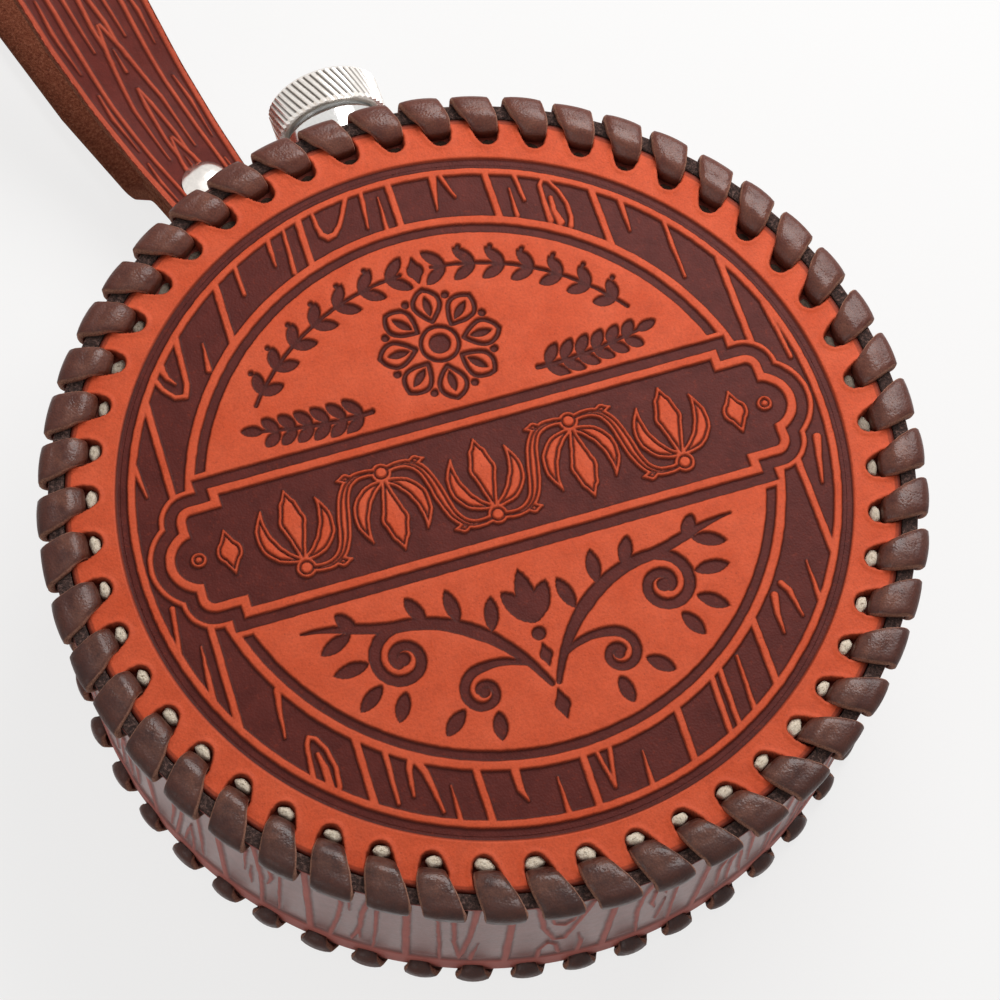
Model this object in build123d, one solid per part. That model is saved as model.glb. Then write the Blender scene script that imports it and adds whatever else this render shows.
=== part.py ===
from build123d import *
from math import atan2, cos, hypot, radians, sin, tan
import os

# Round hand-laced leather canteen flask lying on its back.
# Origin: centre of the back leather disc's outer face. +Z: out of the front
# face. +Y: out of the neck. All lengths are in millimetres.
os.makedirs("parts", exist_ok=True)

# Leather casing
wall_radius = 73.0
wall_thickness = 2.6
casing_depth = 44.0
disc_thickness = 3.2
disc_fit = 0.1
skived_edge = 1.5
seam_gap = 0.4
seam_angle = 90.0

# Embossed rings of the front and back discs, each placed by its distance in from the rim
emboss_depth = 0.5
outer_ring_inset = 11.0
outer_ring_width = 2.0
stave_ring_inset = 14.3
stave_ring_width = 8.2
inner_ring_inset = 24.1
inner_ring_width = 1.7
rest_groove_inset = 14.0
rest_groove_width = 1.2

# Lacing
stitch_count = 50
hole_inset = 5.6
first_crossing_angle = 94.83
lace_thickness = 1.4
lace_hole_width = 3.6
lace_rim_width = 6.6
lace_shoulder_inset = 2.9
lace_slant = 2.8
lace_play = 0.08
slot_lip = 1.6
lace_chamfer = 0.5
cut_overrun = 2.0

# Filler cord seen in the lacing holes
filler_diameter = 1.8
filler_sides = 8
filler_gap = 0.35

# Linings between the leather and the bottle
lining_thickness = 0.8
lining_inset = 17.0

# Steel bottle inside the casing
bottle_gap = 0.3
bottle_gauge = 0.8
bottle_corner = 12.0

# Neck, its washer and its collar
neck_bore = 14.0
neck_wall = 1.0
neck_stand = 17.2
thread_land_diameter = 17.2
thread_land_length = 4.6
collar_diameter = 18.6
collar_flange_diameter = 21.6
collar_flange_thickness = 1.6
collar_gap = 0.4
washer_diameter = 21.6
washer_thickness = 1.0
washer_play = 0.1
neck_hole_play = 0.2

# Screw cap
cap_diameter = 21.4
cap_height = 7.2
cap_overlap = 5.0
cap_bevel = 0.7
cap_skirt = 1.0
core_setback = 0.3
thread_play = 0.1
seal_thickness = 1.0
seal_play = 0.05
seal_gap = 0.06
knurl_count = 50
knurl_depth = 0.35
knurl_twist = 19.8
cap_dish_diameter = 15.0
cap_dish_depth = 0.3

# Strap tab, its rivets and the strap ring
tab_angle = 106.8
tab_width = 14.6
tab_thickness = 1.8
tab_drop = 7.5
tab_layer_gap = 0.05
tab_belly_share = 1.5
tab_join_gap = 1.0
tab_rivet_edge = 3.9
tab_rivet_spacing = 7.2
tab_rivet_head = 5.6
tab_rivet_dome = 1.2
tab_rivet_post = 2.2
tab_rivet_tail = 4.4
tab_rivet_tail_thickness = 0.7
ring_wire = 2.2
ring_clear_width = 16.2
ring_pitch = 9.0
ring_slope_angle = 65.0
ring_corner = 1.5
ring_play = 0.3

# Strap. A run is counted from the ring's bar, and a step from the place before it.
strap_thickness = 2.4
strap_width = 22.0
strap_end_width = 15.4
strap_taper_run = 45.0
strap_layer_gap = 0.1
strap_tail_run = 16.5
strap_return_run = 4.9
strap_lower_run = 6.4
strap_ground_run = 23.0
strap_rise_run = 18.0
strap_slope_step = 14.0
strap_slope_height = 18.2
strap_shoulder_step = 19.0
strap_shoulder_height = 26.5
strap_crest_step = 27.0
strap_crest_height = 36.0
strap_far_step = 28.0
strap_far_height = 30.5
strap_far_tuck = 6.0
strap_bend_radius = 14.0
strap_soft_radius = 30.0
strap_fold_lead = 1.6
strap_fold_drop = 0.6
bend_room_share = 0.98

# Strap rivet
rivet_run = 8.2
rivet_head = 8.8
rivet_dome = 1.8
rivet_post = 2.6
rivet_post_play = 0.1
rivet_foot = 6.6
rivet_foot_thickness = 0.9

# Derived places
mid_height = casing_depth / 2
disc_radius = wall_radius - wall_thickness - disc_fit
wall_inner = wall_radius - wall_thickness
front_under = casing_depth - disc_thickness
bottle_radius = wall_inner - bottle_gap
bottle_foot = disc_thickness + lining_thickness
bottle_head = casing_depth - bottle_foot
ground = -lace_thickness
neck_radius = neck_bore / 2 + neck_wall
neck_reach = wall_radius + neck_stand
cap_foot = neck_reach - cap_overlap
tab_top = casing_depth - tab_drop
tab_rivet_height = tab_top - tab_rivet_edge
stitch_pitch = 360 / stitch_count
slot_top = casing_depth - slot_lip


def save(shape, name):
    """Write one sub-part under its own name."""
    shape.label = name
    export_step(shape, f"parts/{name}.step")
    print(name, len(shape.solids()), round(shape.volume, 1))


def ring_of(outer, inner, low, high):
    """Flat ring about Z between two heights."""
    ring = extrude(Plane.XY.offset(low) * Circle(outer), high - low)
    if inner > 0:
        ring -= extrude(Plane.XY.offset(low) * Circle(inner), high - low)
    return ring


def neck_ring(outer, inner, near, far):
    """Round sleeve about the neck's axis between two distances from the flask's axis."""
    place = Plane(origin=(0, near, mid_height), z_dir=(0, 1, 0))
    sleeve = extrude(place * Circle(outer), far - near)
    if inner > 0:
        sleeve -= extrude(place * Circle(inner), far - near)
    return sleeve


def turned_over(shape):
    """The same piece on the flask's other face."""
    return shape.rotate(Axis((0, 0, mid_height), (0, 1, 0)), 180)


def outline_prism(points, low, high):
    """Upright prism on a plan outline."""
    face = Plane.XY.offset(low) * make_face(Polyline(*points, close=True))
    return extrude(face, high - low)


# Places along one stitch, from the flask's axis outwards
leg_near = wall_radius - hole_inset - lace_thickness / 2
leg_far = leg_near + lace_thickness
lace_shoulder = wall_radius - lace_shoulder_inset
lace_inside = wall_radius + lace_play
lace_outside = lace_inside + lace_thickness
lace_top = casing_depth + lace_thickness
lace_slot_high = slot_top - lace_play
lace_slot_low = lace_slot_high - lace_thickness
lace_tuck = wall_inner - disc_fit * 2
leg_foot = front_under - lace_thickness - lace_play


def lace_middle(reach):
    """Sideways place of a slanting stitch's middle line at a distance from the flask's axis."""
    return -lace_slant * (wall_radius - reach) / (wall_radius - leg_near)


def lace_edges(reach, spare):
    """Both edges of a stitch there: it widens from its hole to its shoulder."""
    share = min(1, (reach - leg_near) / (lace_shoulder - leg_near))
    half = (lace_hole_width + (lace_rim_width - lace_hole_width) * share) / 2 + spare
    return lace_middle(reach) - half, lace_middle(reach) + half


def lace_outline(near, far, spare):
    """Plan of a stitch between two distances from the flask's axis."""
    places = [near, far]
    if near < lace_shoulder < far:
        places.insert(1, lace_shoulder)
    low = [(reach, lace_edges(reach, spare)[0]) for reach in places]
    high = [(reach, lace_edges(reach, spare)[1]) for reach in reversed(places)]
    return low + high


def stitch():
    """One stitch: up out of the disc's hole, over the rim and in through the wall's slot."""
    profile = [
        (leg_near, leg_foot),
        (leg_near, lace_top - lace_chamfer),
        (leg_near + lace_chamfer, lace_top),
        (lace_outside - lace_chamfer, lace_top),
        (lace_outside, lace_top - lace_chamfer),
        (lace_outside, lace_slot_low),
        (lace_tuck, lace_slot_low),
        (lace_tuck, lace_slot_high),
        (lace_inside, lace_slot_high),
        (lace_inside, casing_depth),
        (leg_far, casing_depth),
        (leg_far, leg_foot),
    ]
    face = make_face(Polyline(*[(x, 0, z) for x, z in profile], close=True))
    band = extrude(face, lace_rim_width * 2, dir=(0, 1, 0), both=True)
    plan = lace_outline(leg_near - cut_overrun, lace_outside + cut_overrun, 0)
    return band & outline_prism(plan, leg_foot - cut_overrun, lace_top + cut_overrun)


def inner_run():
    """The lace's hidden run from the wall's slot to the next hole, under the disc."""
    turn = radians(stitch_pitch)
    hole_y = lace_middle(leg_near)
    next_x = leg_near * cos(turn) - hole_y * sin(turn)
    next_y = leg_near * sin(turn) + hole_y * cos(turn)
    half_end = lace_hole_width / 2
    slot_reach = lace_tuck + lace_play
    slot_low, slot_high = lace_edges(slot_reach, 0)
    profile = [
        (next_x - lace_play, leg_foot),
        (next_x - lace_play, leg_foot + lace_thickness),
        (leg_far, leg_foot + lace_thickness),
        (slot_reach, lace_slot_high),
        (slot_reach, lace_slot_low),
        (leg_far, leg_foot),
    ]
    face = make_face(Polyline(*[(x, 0, z) for x, z in profile], close=True))
    band = extrude(face, wall_thickness * 5, dir=(0, 1, 0), both=True)
    plan = [
        (next_x - lace_thickness, next_y - half_end),
        (slot_reach, slot_low + lace_thickness),
        (slot_reach, slot_high),
        (next_x - lace_thickness, next_y + half_end),
    ]
    return band & outline_prism(plan, leg_foot - cut_overrun, casing_depth)


def crossing_angle(index):
    """Azimuth at which a stitch crosses the rim."""
    return first_crossing_angle + stitch_pitch * index


def lacing():
    """Every stitch of one rim and the hidden runs that join them into one lace."""
    unit = Part() + stitch() + inner_run()
    turns = [unit.rotate(Axis.Z, crossing_angle(i)) for i in range(stitch_count)]
    return Part() + turns


def disc_hole():
    """Lacing hole through a disc, with the filler cord's end of it rounded."""
    low, high = lace_edges(leg_near, lace_play * 2)
    far_low, far_high = lace_edges(leg_far, lace_play * 2)
    quarter = (high - low) / 4
    end = leg_near - filler_diameter - filler_gap
    points = [
        (end, low + quarter),
        (leg_near - filler_diameter / 2, low),
        (leg_far + lace_play, far_low),
        (leg_far + lace_play, far_high),
        (leg_near - filler_diameter / 2, high),
        (end, high - quarter),
    ]
    return outline_prism(points, front_under - cut_overrun, casing_depth + cut_overrun)


def wall_slot():
    """Slot in the wall that one stitch passes through."""
    plan = lace_outline(wall_inner - cut_overrun, wall_radius + cut_overrun, lace_play)
    return outline_prism(plan, lace_slot_low - lace_play, slot_top)


def around_rim(cutter):
    """A cutter repeated at every stitch."""
    return [cutter.rotate(Axis.Z, crossing_angle(i)) for i in range(stitch_count)]


def leather_disc():
    """Blank of a face disc on the front side: skived edge and lacing holes."""
    profile = [
        (0, front_under),
        (leg_near, front_under),
        (disc_radius, casing_depth - skived_edge),
        (disc_radius, casing_depth),
        (0, casing_depth),
    ]
    face = make_face(Polyline(*[(x, 0, z) for x, z in profile], close=True))
    return revolve(face, Axis.Z) - around_rim(disc_hole())


def emboss_ring(inset, width):
    """Pressed ring of a disc, cut down from the front face."""
    radius = wall_radius - inset
    return ring_of(radius, radius - width, casing_depth - emboss_depth, casing_depth + cut_overrun)


def front_disc():
    disc = leather_disc()
    disc -= emboss_ring(outer_ring_inset, outer_ring_width)
    disc -= emboss_ring(stave_ring_inset, stave_ring_width)
    disc -= emboss_ring(inner_ring_inset, inner_ring_width)
    return disc


def back_disc():
    disc = leather_disc() - emboss_ring(rest_groove_inset, rest_groove_width)
    return turned_over(disc)


def tab_frame(shape):
    """Turn a piece from the strap's own plane to its place beside the neck."""
    return shape.rotate(Axis.Z, tab_angle)


def across(radius, near, far, side, height):
    """Round bar along the strap's radial direction at one place across it."""
    place = Plane(origin=(near, side, height), z_dir=(1, 0, 0))
    return extrude(place * Circle(radius), far - near)


tab_rivet_sides = [-tab_rivet_spacing / 2, tab_rivet_spacing / 2]


def side_wall():
    wall = ring_of(wall_radius, wall_inner, 0, casing_depth)
    slots = around_rim(wall_slot())
    wall -= slots + [turned_over(slot) for slot in slots]
    wall -= neck_ring(neck_radius + neck_hole_play, 0, wall_inner - cut_overrun * 2, wall_radius * 2)
    seam = Box(wall_thickness * 3, seam_gap, casing_depth, align=(Align.CENTER, Align.CENTER, Align.MIN))
    wall -= seam.moved(Location((wall_radius - wall_thickness / 2, 0, 0))).rotate(Axis.Z, seam_angle)
    near = wall_inner - cut_overrun
    tail_far = wall_inner + tab_rivet_tail_thickness
    for side in tab_rivet_sides:
        post = across(tab_rivet_post / 2, near, wall_radius + cut_overrun, side, tab_rivet_height)
        tail = across(tab_rivet_tail / 2, near, tail_far, side, tab_rivet_height)
        wall -= [tab_frame(post), tab_frame(tail)]
    return wall


def filler_cord():
    """Ring of cord that lies under the disc at the holes' inner ends."""
    reach = leg_near - filler_diameter / 2 - filler_gap
    height = front_under - filler_diameter / 2 - lace_play
    section = Plane.XZ * Pos(reach, height) * RegularPolygon(filler_diameter / 2, filler_sides)
    return revolve(section, Axis.Z)


def lining():
    return ring_of(wall_radius - lining_inset, 0, front_under - lining_thickness, front_under)


def bottle_profile(inset):
    """Closed half outline of the bottle's front half, inset by a wall."""
    edge = bottle_radius - inset
    top = bottle_head - inset
    corner = bottle_corner - inset
    side = Line((edge, mid_height), (edge, top - corner))
    bend = RadiusArc((edge, top - corner), (edge - corner, top), -corner)
    roof = Polyline((edge - corner, top), (0, top), (0, mid_height), (edge, mid_height))
    return make_face(Curve() + [side, bend, roof])


def bottle_half():
    """Pressed front half of the steel bottle, notched for the neck."""
    outer = revolve(Plane.XZ * bottle_profile(0), Axis.Z)
    inner = revolve(Plane.XZ * bottle_profile(bottle_gauge), Axis.Z)
    notch = neck_ring(neck_radius, 0, bottle_radius - bottle_corner, bottle_radius + cut_overrun)
    return outer - inner - notch


def bottle_neck():
    tube = neck_ring(neck_radius, neck_bore / 2, bottle_radius - cut_overrun * 2, neck_reach)
    land_near = neck_reach - thread_land_length
    tube += neck_ring(thread_land_diameter / 2, neck_bore / 2, land_near, neck_reach)
    return tube - ring_of(bottle_radius - bottle_gauge, 0, 0, casing_depth)


washer_seat = ring_of(wall_radius, 0, 0, casing_depth)
collar_seat = ring_of(wall_radius + washer_thickness, 0, 0, casing_depth)
collar_foot = wall_radius + washer_thickness


def neck_washer():
    """Leather washer that follows the wall's curve under the collar."""
    near = wall_radius - washer_thickness * 2
    sleeve = neck_ring(washer_diameter / 2, neck_radius + washer_play, near, collar_foot + cut_overrun)
    return (sleeve & collar_seat) - washer_seat


def neck_collar():
    """Polished collar between the washer and the cap, saddled on the wall's curve."""
    near = wall_radius - washer_thickness
    far = cap_foot - collar_gap
    flange_far = collar_foot + collar_flange_thickness
    flange = neck_ring(collar_flange_diameter / 2, 0, near, flange_far)
    flange = chamfer(flange.faces().sort_by(Axis.Y)[-1].edges(), collar_flange_thickness / 3)
    barrel = neck_ring(collar_diameter / 2, 0, near, far)
    barrel = fillet(barrel.faces().sort_by(Axis.Y)[-1].edges(), collar_flange_thickness / 2)
    collar = flange + barrel - neck_ring(neck_radius, 0, near - cut_overrun, far + cut_overrun)
    return collar - collar_seat


cap_end = cap_foot + cap_height
seal_near = neck_reach + seal_gap
seal_far = seal_near + seal_thickness
shell_inside = cap_diameter / 2 - cap_skirt
core_far = seal_near - seal_play


def knurled_band():
    """Twisted toothed prism: the cap's diagonal knurl."""
    crest = cap_diameter / 2
    root = crest - knurl_depth
    step = 360 / knurl_count
    crest_share = 0.3
    points = []
    for i in range(knurl_count):
        for radius, turn_share in ((root, -crest_share), (crest, 0), (crest, crest_share)):
            angle = radians(step * (i + turn_share))
            points.append((radius * sin(angle), cap_foot, mid_height + radius * cos(angle)))
    section = make_face(Polyline(*points, close=True)).face()
    centre = (0, cap_foot, mid_height)
    return Solid.extrude_linear_with_rotation(section, centre, (0, cap_height, 0), -knurl_twist)


def cap_shell():
    """Knurled steel cap with bevelled ends, open towards the flask."""
    blank = neck_ring(cap_diameter / 2, 0, cap_foot, cap_end)
    blank = chamfer(blank.faces().sort_by(Axis.Y)[-1].edges(), cap_bevel)
    shell = (Part() + knurled_band()) & blank
    shell -= neck_ring(cap_dish_diameter / 2, 0, cap_end - cap_dish_depth, cap_end + cut_overrun)
    return shell - neck_ring(shell_inside, 0, cap_foot - cut_overrun, seal_far + seal_play)


def cap_core():
    """Threaded insert pressed into the cap."""
    near = cap_foot + core_setback
    bore = thread_land_diameter / 2 + thread_play
    return neck_ring(shell_inside, bore, near, core_far)


def cap_seal():
    """Seal disc, free to stay still while the cap turns."""
    return neck_ring(shell_inside - seal_play, 0, seal_near, seal_far)


bar_reach = wall_radius + tab_thickness + ring_wire / 2 + ring_play
strap_bar_reach = bar_reach + ring_pitch * cos(radians(ring_slope_angle))
strap_bar_height = mid_height - ring_pitch * sin(radians(ring_slope_angle))
rivet_reach = strap_bar_reach + rivet_run


def fitted_radii(points, radii):
    """Bend radii of a bent line, made smaller where two bends share too short a leg."""
    legs = [(end[0] - start[0], end[1] - start[1]) for start, end in zip(points, points[1:])]
    lengths = [hypot(*leg) for leg in legs]
    reaches = []
    for before, after, radius in zip(legs, legs[1:], radii):
        cross = before[0] * after[1] - before[1] * after[0]
        dot = before[0] * after[0] + before[1] * after[1]
        reaches.append(radius * tan(abs(atan2(cross, dot)) / 2))
    shared = [0] + reaches + [0]
    room = [bend_room_share * length / max(near + far, length * bend_room_share)
            for length, near, far in zip(lengths, shared, shared[1:])]
    return [radius * min(near, far) for radius, near, far in zip(radii, room, room[1:])]


def strip(points, radii, thickness, width):
    """Flat band of leather that follows a bent line in the strap's plane."""
    path = FilletPolyline(*[(x, 0, z) for x, z in points], radius=fitted_radii(points, radii))
    section = Plane(origin=path @ 0, x_dir=(0, 1, 0), z_dir=path % 0) * Rectangle(width, thickness)
    return sweep(section, path)


def strap_tab():
    """Leather keeper: two legs riveted to the wall, folded round the ring's bar."""
    near = wall_radius + tab_thickness / 2
    fold = ring_wire / 2 + ring_play + tab_thickness / 2
    far = bar_reach + fold
    outer_leg = near + tab_thickness + tab_layer_gap
    foot = mid_height - fold
    bend = fold - tab_layer_gap
    points = [
        (near, tab_top),
        (near, foot),
        (far, foot),
        (far, mid_height + fold * tab_belly_share),
        (outer_leg, tab_rivet_height - tab_rivet_head / 2 - tab_join_gap),
        (outer_leg, tab_top),
    ]
    tab = strip(points, [bend, bend, bend, bend], tab_thickness, tab_width)
    for side in tab_rivet_sides:
        hole_far = outer_leg + tab_thickness
        tab -= across(tab_rivet_post / 2, wall_radius - cut_overrun, hole_far, side, tab_rivet_height)
    return tab_frame(tab)


def domed_head(radius, dome):
    """Low dome on XY, its flat side down."""
    ball = (radius * radius + dome * dome) / (2 * dome)
    return Sphere(ball).moved(Location((0, 0, dome - ball))) & extrude(Circle(radius), dome)


def tab_rivets():
    """Pair of rivets that hold the tab to the wall."""
    head_near = wall_radius + tab_thickness * 2 + tab_layer_gap
    pair = Part()
    for side in tab_rivet_sides:
        place = Plane(origin=(head_near, side, tab_rivet_height), z_dir=(1, 0, 0))
        head = place * domed_head(tab_rivet_head / 2, tab_rivet_dome)
        post = across(tab_rivet_post / 2, wall_inner, head_near, side, tab_rivet_height)
        tail_far = wall_inner + tab_rivet_tail_thickness
        tail = across(tab_rivet_tail / 2, wall_inner, tail_far, side, tab_rivet_height)
        pair += head + post + tail
    return tab_frame(pair)


def strap_ring():
    """Rectangular wire loop between the tab and the strap."""
    slope = radians(ring_slope_angle)
    length = ring_pitch
    width = ring_clear_width + ring_wire
    centre = ((bar_reach + strap_bar_reach) / 2, 0, (mid_height + strap_bar_height) / 2)
    place = Plane(origin=centre, x_dir=(cos(slope), 0, -sin(slope)), z_dir=(sin(slope), 0, cos(slope)))
    line = (place * RectangleRounded(length, width, ring_corner)).faces()[0].outer_wire()
    section = Plane(origin=line @ 0, z_dir=line % 0) * Circle(ring_wire / 2)
    return tab_frame(sweep(section, line))


fold_radius = ring_wire / 2 + ring_play + strap_thickness / 2
layer_step = strap_thickness + strap_layer_gap
upper_layer = strap_bar_height + fold_radius - strap_fold_drop
middle_layer = upper_layer - layer_step
lower_layer = middle_layer - layer_step
ground_layer = ground + strap_thickness / 2


def strap_points():
    """Middle line of the strap, from the folded tail round the loop to the other end."""
    fold_top = strap_bar_height + fold_radius
    fold_foot = strap_bar_height - fold_radius
    fold_back = strap_bar_reach - fold_radius
    slope = strap_bar_reach + strap_rise_run + strap_slope_step
    shoulder = slope + strap_shoulder_step
    crest = shoulder + strap_crest_step
    return [
        (strap_bar_reach + strap_tail_run, middle_layer),
        (strap_bar_reach + strap_return_run, middle_layer),
        (strap_bar_reach + strap_fold_lead, fold_foot),
        (fold_back, fold_foot),
        (fold_back, fold_top),
        (strap_bar_reach + strap_fold_lead, fold_top),
        (rivet_reach - rivet_head / 2 - strap_fold_drop, upper_layer),
        (strap_bar_reach + strap_rise_run, upper_layer),
        (slope, strap_slope_height),
        (shoulder, strap_shoulder_height),
        (crest, strap_crest_height),
        (crest + strap_far_step, strap_far_height),
        (crest + strap_far_step - strap_far_tuck, ground_layer),
        (strap_bar_reach + strap_ground_run, ground_layer),
        (rivet_reach + rivet_foot, lower_layer),
        (strap_bar_reach + strap_lower_run, lower_layer),
    ]


strap_radii = [
    strap_thickness,
    strap_fold_lead,
    fold_radius - strap_layer_gap,
    fold_radius - strap_layer_gap,
    strap_thickness,
    strap_thickness,
    strap_soft_radius,
    strap_soft_radius,
    strap_soft_radius * 2,
    strap_soft_radius,
    strap_bend_radius,
    strap_bend_radius,
    strap_thickness * 2,
    strap_thickness * 2,
]


def strap():
    """Closed loop of strap leather, tapered towards the ring and folded round it."""
    points = strap_points()
    loop = strip(points, strap_radii, strap_thickness, strap_width)
    back = strap_bar_reach - fold_radius * 2
    taper_end = strap_bar_reach + strap_taper_run
    far = max(reach for reach, height in points) + strap_width
    plan = [
        (back, -strap_end_width / 2),
        (strap_bar_reach, -strap_end_width / 2),
        (taper_end, -strap_width / 2),
        (far, -strap_width / 2),
        (far, strap_width / 2),
        (taper_end, strap_width / 2),
        (strap_bar_reach, strap_end_width / 2),
        (back, strap_end_width / 2),
    ]
    loop = loop & outline_prism(plan, ground, casing_depth)
    hole = Plane.XY.offset(ground) * Pos(rivet_reach, 0) * Circle(rivet_post / 2 + rivet_post_play)
    return tab_frame(loop - extrude(hole, casing_depth))


def strap_rivet():
    """Domed rivet through the three layers of the strap, with its foot cap."""
    top = upper_layer + strap_thickness / 2
    foot = lower_layer - strap_thickness / 2
    head = domed_head(rivet_head / 2, rivet_dome).moved(Location((rivet_reach, 0, top)))
    post = extrude(Plane.XY.offset(foot) * Pos(rivet_reach, 0) * Circle(rivet_post / 2), top - foot)
    plate_low = foot - rivet_foot_thickness
    plate = Plane.XY.offset(plate_low) * Pos(rivet_reach, 0) * Circle(rivet_foot / 2)
    return tab_frame(head + post + extrude(plate, rivet_foot_thickness))


front_half = bottle_half()
front_lace = lacing()
front_filler = filler_cord()
front_lining = lining()

save(front_half, "bottle_front_shell")
save(turned_over(front_half), "bottle_back_shell")
save(bottle_neck(), "bottle_neck")
save(neck_washer(), "neck_washer")
save(neck_collar(), "neck_collar")
save(front_disc(), "front_disc")
save(back_disc(), "back_disc")
save(side_wall(), "side_wall")
save(front_lace, "front_lacing")
save(turned_over(front_lace), "back_lacing")
save(front_filler, "front_filler_cord")
save(turned_over(front_filler), "back_filler_cord")
save(front_lining, "front_lining")
save(turned_over(front_lining), "back_lining")
save(cap_shell(), "cap_shell")
save(cap_core(), "cap_core")
save(cap_seal(), "cap_seal")
save(strap_tab(), "strap_tab")
save(tab_rivets(), "tab_rivets")
save(strap_ring(), "strap_ring")
save(strap(), "strap")
save(strap_rivet(), "strap_rivet")
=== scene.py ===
from math import cos, pi, radians, sin, sqrt

import bmesh
import bpy
import numpy as np
from mathutils import Matrix, Vector


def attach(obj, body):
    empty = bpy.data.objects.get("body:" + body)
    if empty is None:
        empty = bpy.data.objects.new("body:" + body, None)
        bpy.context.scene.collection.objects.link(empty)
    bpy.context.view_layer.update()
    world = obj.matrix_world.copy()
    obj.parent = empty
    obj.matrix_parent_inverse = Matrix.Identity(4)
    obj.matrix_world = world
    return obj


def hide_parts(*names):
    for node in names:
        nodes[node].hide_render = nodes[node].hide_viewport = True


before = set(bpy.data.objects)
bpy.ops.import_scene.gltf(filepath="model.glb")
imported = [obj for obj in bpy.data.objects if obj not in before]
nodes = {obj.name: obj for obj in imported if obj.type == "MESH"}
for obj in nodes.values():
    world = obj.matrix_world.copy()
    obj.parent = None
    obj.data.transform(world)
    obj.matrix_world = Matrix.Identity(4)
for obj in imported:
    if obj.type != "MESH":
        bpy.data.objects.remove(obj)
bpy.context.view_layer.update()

# Leather-covered canteen flask: tooled discs and wall, whip-stitched lacing, strap and metal finishes

bpy.ops.object.select_all(action="DESELECT")
MM = 0.001

# Sizes of the flask in millimetres and its angles in degrees, as in the frame
WALL_R = 73.0
WALL_IN = 70.4
DISC_R = 70.25
DEPTH = 44.0
MID = DEPTH / 2
STITCHES = 50
PITCH = 360 / STITCHES
FIRST_STITCH = 94.83
HOLE_LAG = 2.4
PUNCH_DRIFT = 0.45
LACE = 1.4
EMBOSS = 0.5
SETTLE = 0.07
TAB_ANGLE = 106.8
VIEW_ANGLE = 65.7


# Small numeric tools

def smooth(a, b, x):
    """Smooth step from 0 at a to 1 at b."""
    t = np.clip((x - a) / (b - a), 0, 1)
    return t * t * (3 - 2 * t)


def lattice_noise(seed, cells=64):
    """Smooth repeatable noise of two coordinates, from -1 to 1."""
    table = np.random.default_rng(seed).uniform(-1, 1, (cells, cells))

    def at(u, v):
        i = np.floor(u).astype(int)
        j = np.floor(v).astype(int)
        fu = smooth(0, 1, u - i)
        fv = smooth(0, 1, v - j)
        a = table[i % cells, j % cells]
        b = table[(i + 1) % cells, j % cells]
        c = table[i % cells, (j + 1) % cells]
        d = table[(i + 1) % cells, (j + 1) % cells]
        return (a * (1 - fu) + b * fu) * (1 - fv) + (c * (1 - fu) + d * fu) * fv

    return at


wobble = lattice_noise(3)
swell = lattice_noise(8)


def strokes_field(u, v, strokes, far=9.0, margin=1.2):
    """Signed distance to a set of tapered strokes: negative inside, and far beyond their margin."""
    best = np.full(u.shape, far)
    for points, widths in strokes:
        pts = np.asarray(points, float)
        if np.isscalar(widths):
            widths = [widths] * len(pts)
        pad = max(widths) + margin
        near = (u > pts[:, 0].min() - pad) & (u < pts[:, 0].max() + pad)
        near &= (v > pts[:, 1].min() - pad) & (v < pts[:, 1].max() + pad)
        where = np.nonzero(near)[0]
        if not len(where):
            continue
        uu = u[where]
        vv = v[where]
        low = best[where]
        for (a, b, wa, wb) in zip(pts[:-1], pts[1:], widths[:-1], widths[1:]):
            d = b - a
            t = np.clip(((uu - a[0]) * d[0] + (vv - a[1]) * d[1]) / max(d @ d, 1e-9), 0, 1)
            dist = np.hypot(uu - a[0] - t * d[0], vv - a[1] - t * d[1])
            low = np.minimum(low, dist - (wa + (wb - wa) * t))
        best[where] = low
    return best


def sweep(a, b, c, d, widths, n=16):
    """Tapered stroke along a cubic curve with two ends and two handles."""
    pts = []
    for t in np.linspace(0, 1, n + 1):
        f = ((1 - t) ** 3, 3 * t * (1 - t) ** 2, 3 * t * t * (1 - t), t ** 3)
        pts.append(tuple(f[0] * a[i] + f[1] * b[i] + f[2] * c[i] + f[3] * d[i] for i in (0, 1)))
    return pts, [float(np.interp(i / n, np.linspace(0, 1, len(widths)), widths)) for i in range(n + 1)]


def volute(centre, r0, r1, a0, a1, w0, w1, n=26):
    """Stroke that winds inwards round a centre and ends in an eye."""
    pts, widths = [], []
    for t in np.linspace(0, 1, n + 1):
        a = radians(a0 + (a1 - a0) * t)
        r = r0 + (r1 - r0) * t ** 0.8
        pts.append((centre[0] + r * cos(a), centre[1] + r * sin(a)))
        widths.append(w0 + (w1 - w0) * t)
    return pts, widths


def dot(x, y, r):
    """Round spot as a stroke without length."""
    return [(x, y), (x, y)], r


def diamond(x, y, high, half):
    """Upright diamond as one stroke."""
    return [(x, y - high), (x, y), (x, y + high)], [0.1, half, 0.1]


def leaf(base, angle, length, width):
    """Pointed leaf as one stroke that swells in its middle."""
    n = 8
    pts = [(base[0] + length * i / n * cos(radians(angle)), base[1] + length * i / n * sin(radians(angle)))
           for i in range(n + 1)]
    return pts, [max(0.08, width * sin(pi * i / n) ** 0.8) for i in range(n + 1)]


def mirrored(strokes):
    """The same strokes left and right swapped."""
    return [([(-x, y) for x, y in pts], w) for pts, w in strokes]


# Mesh tools

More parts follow.
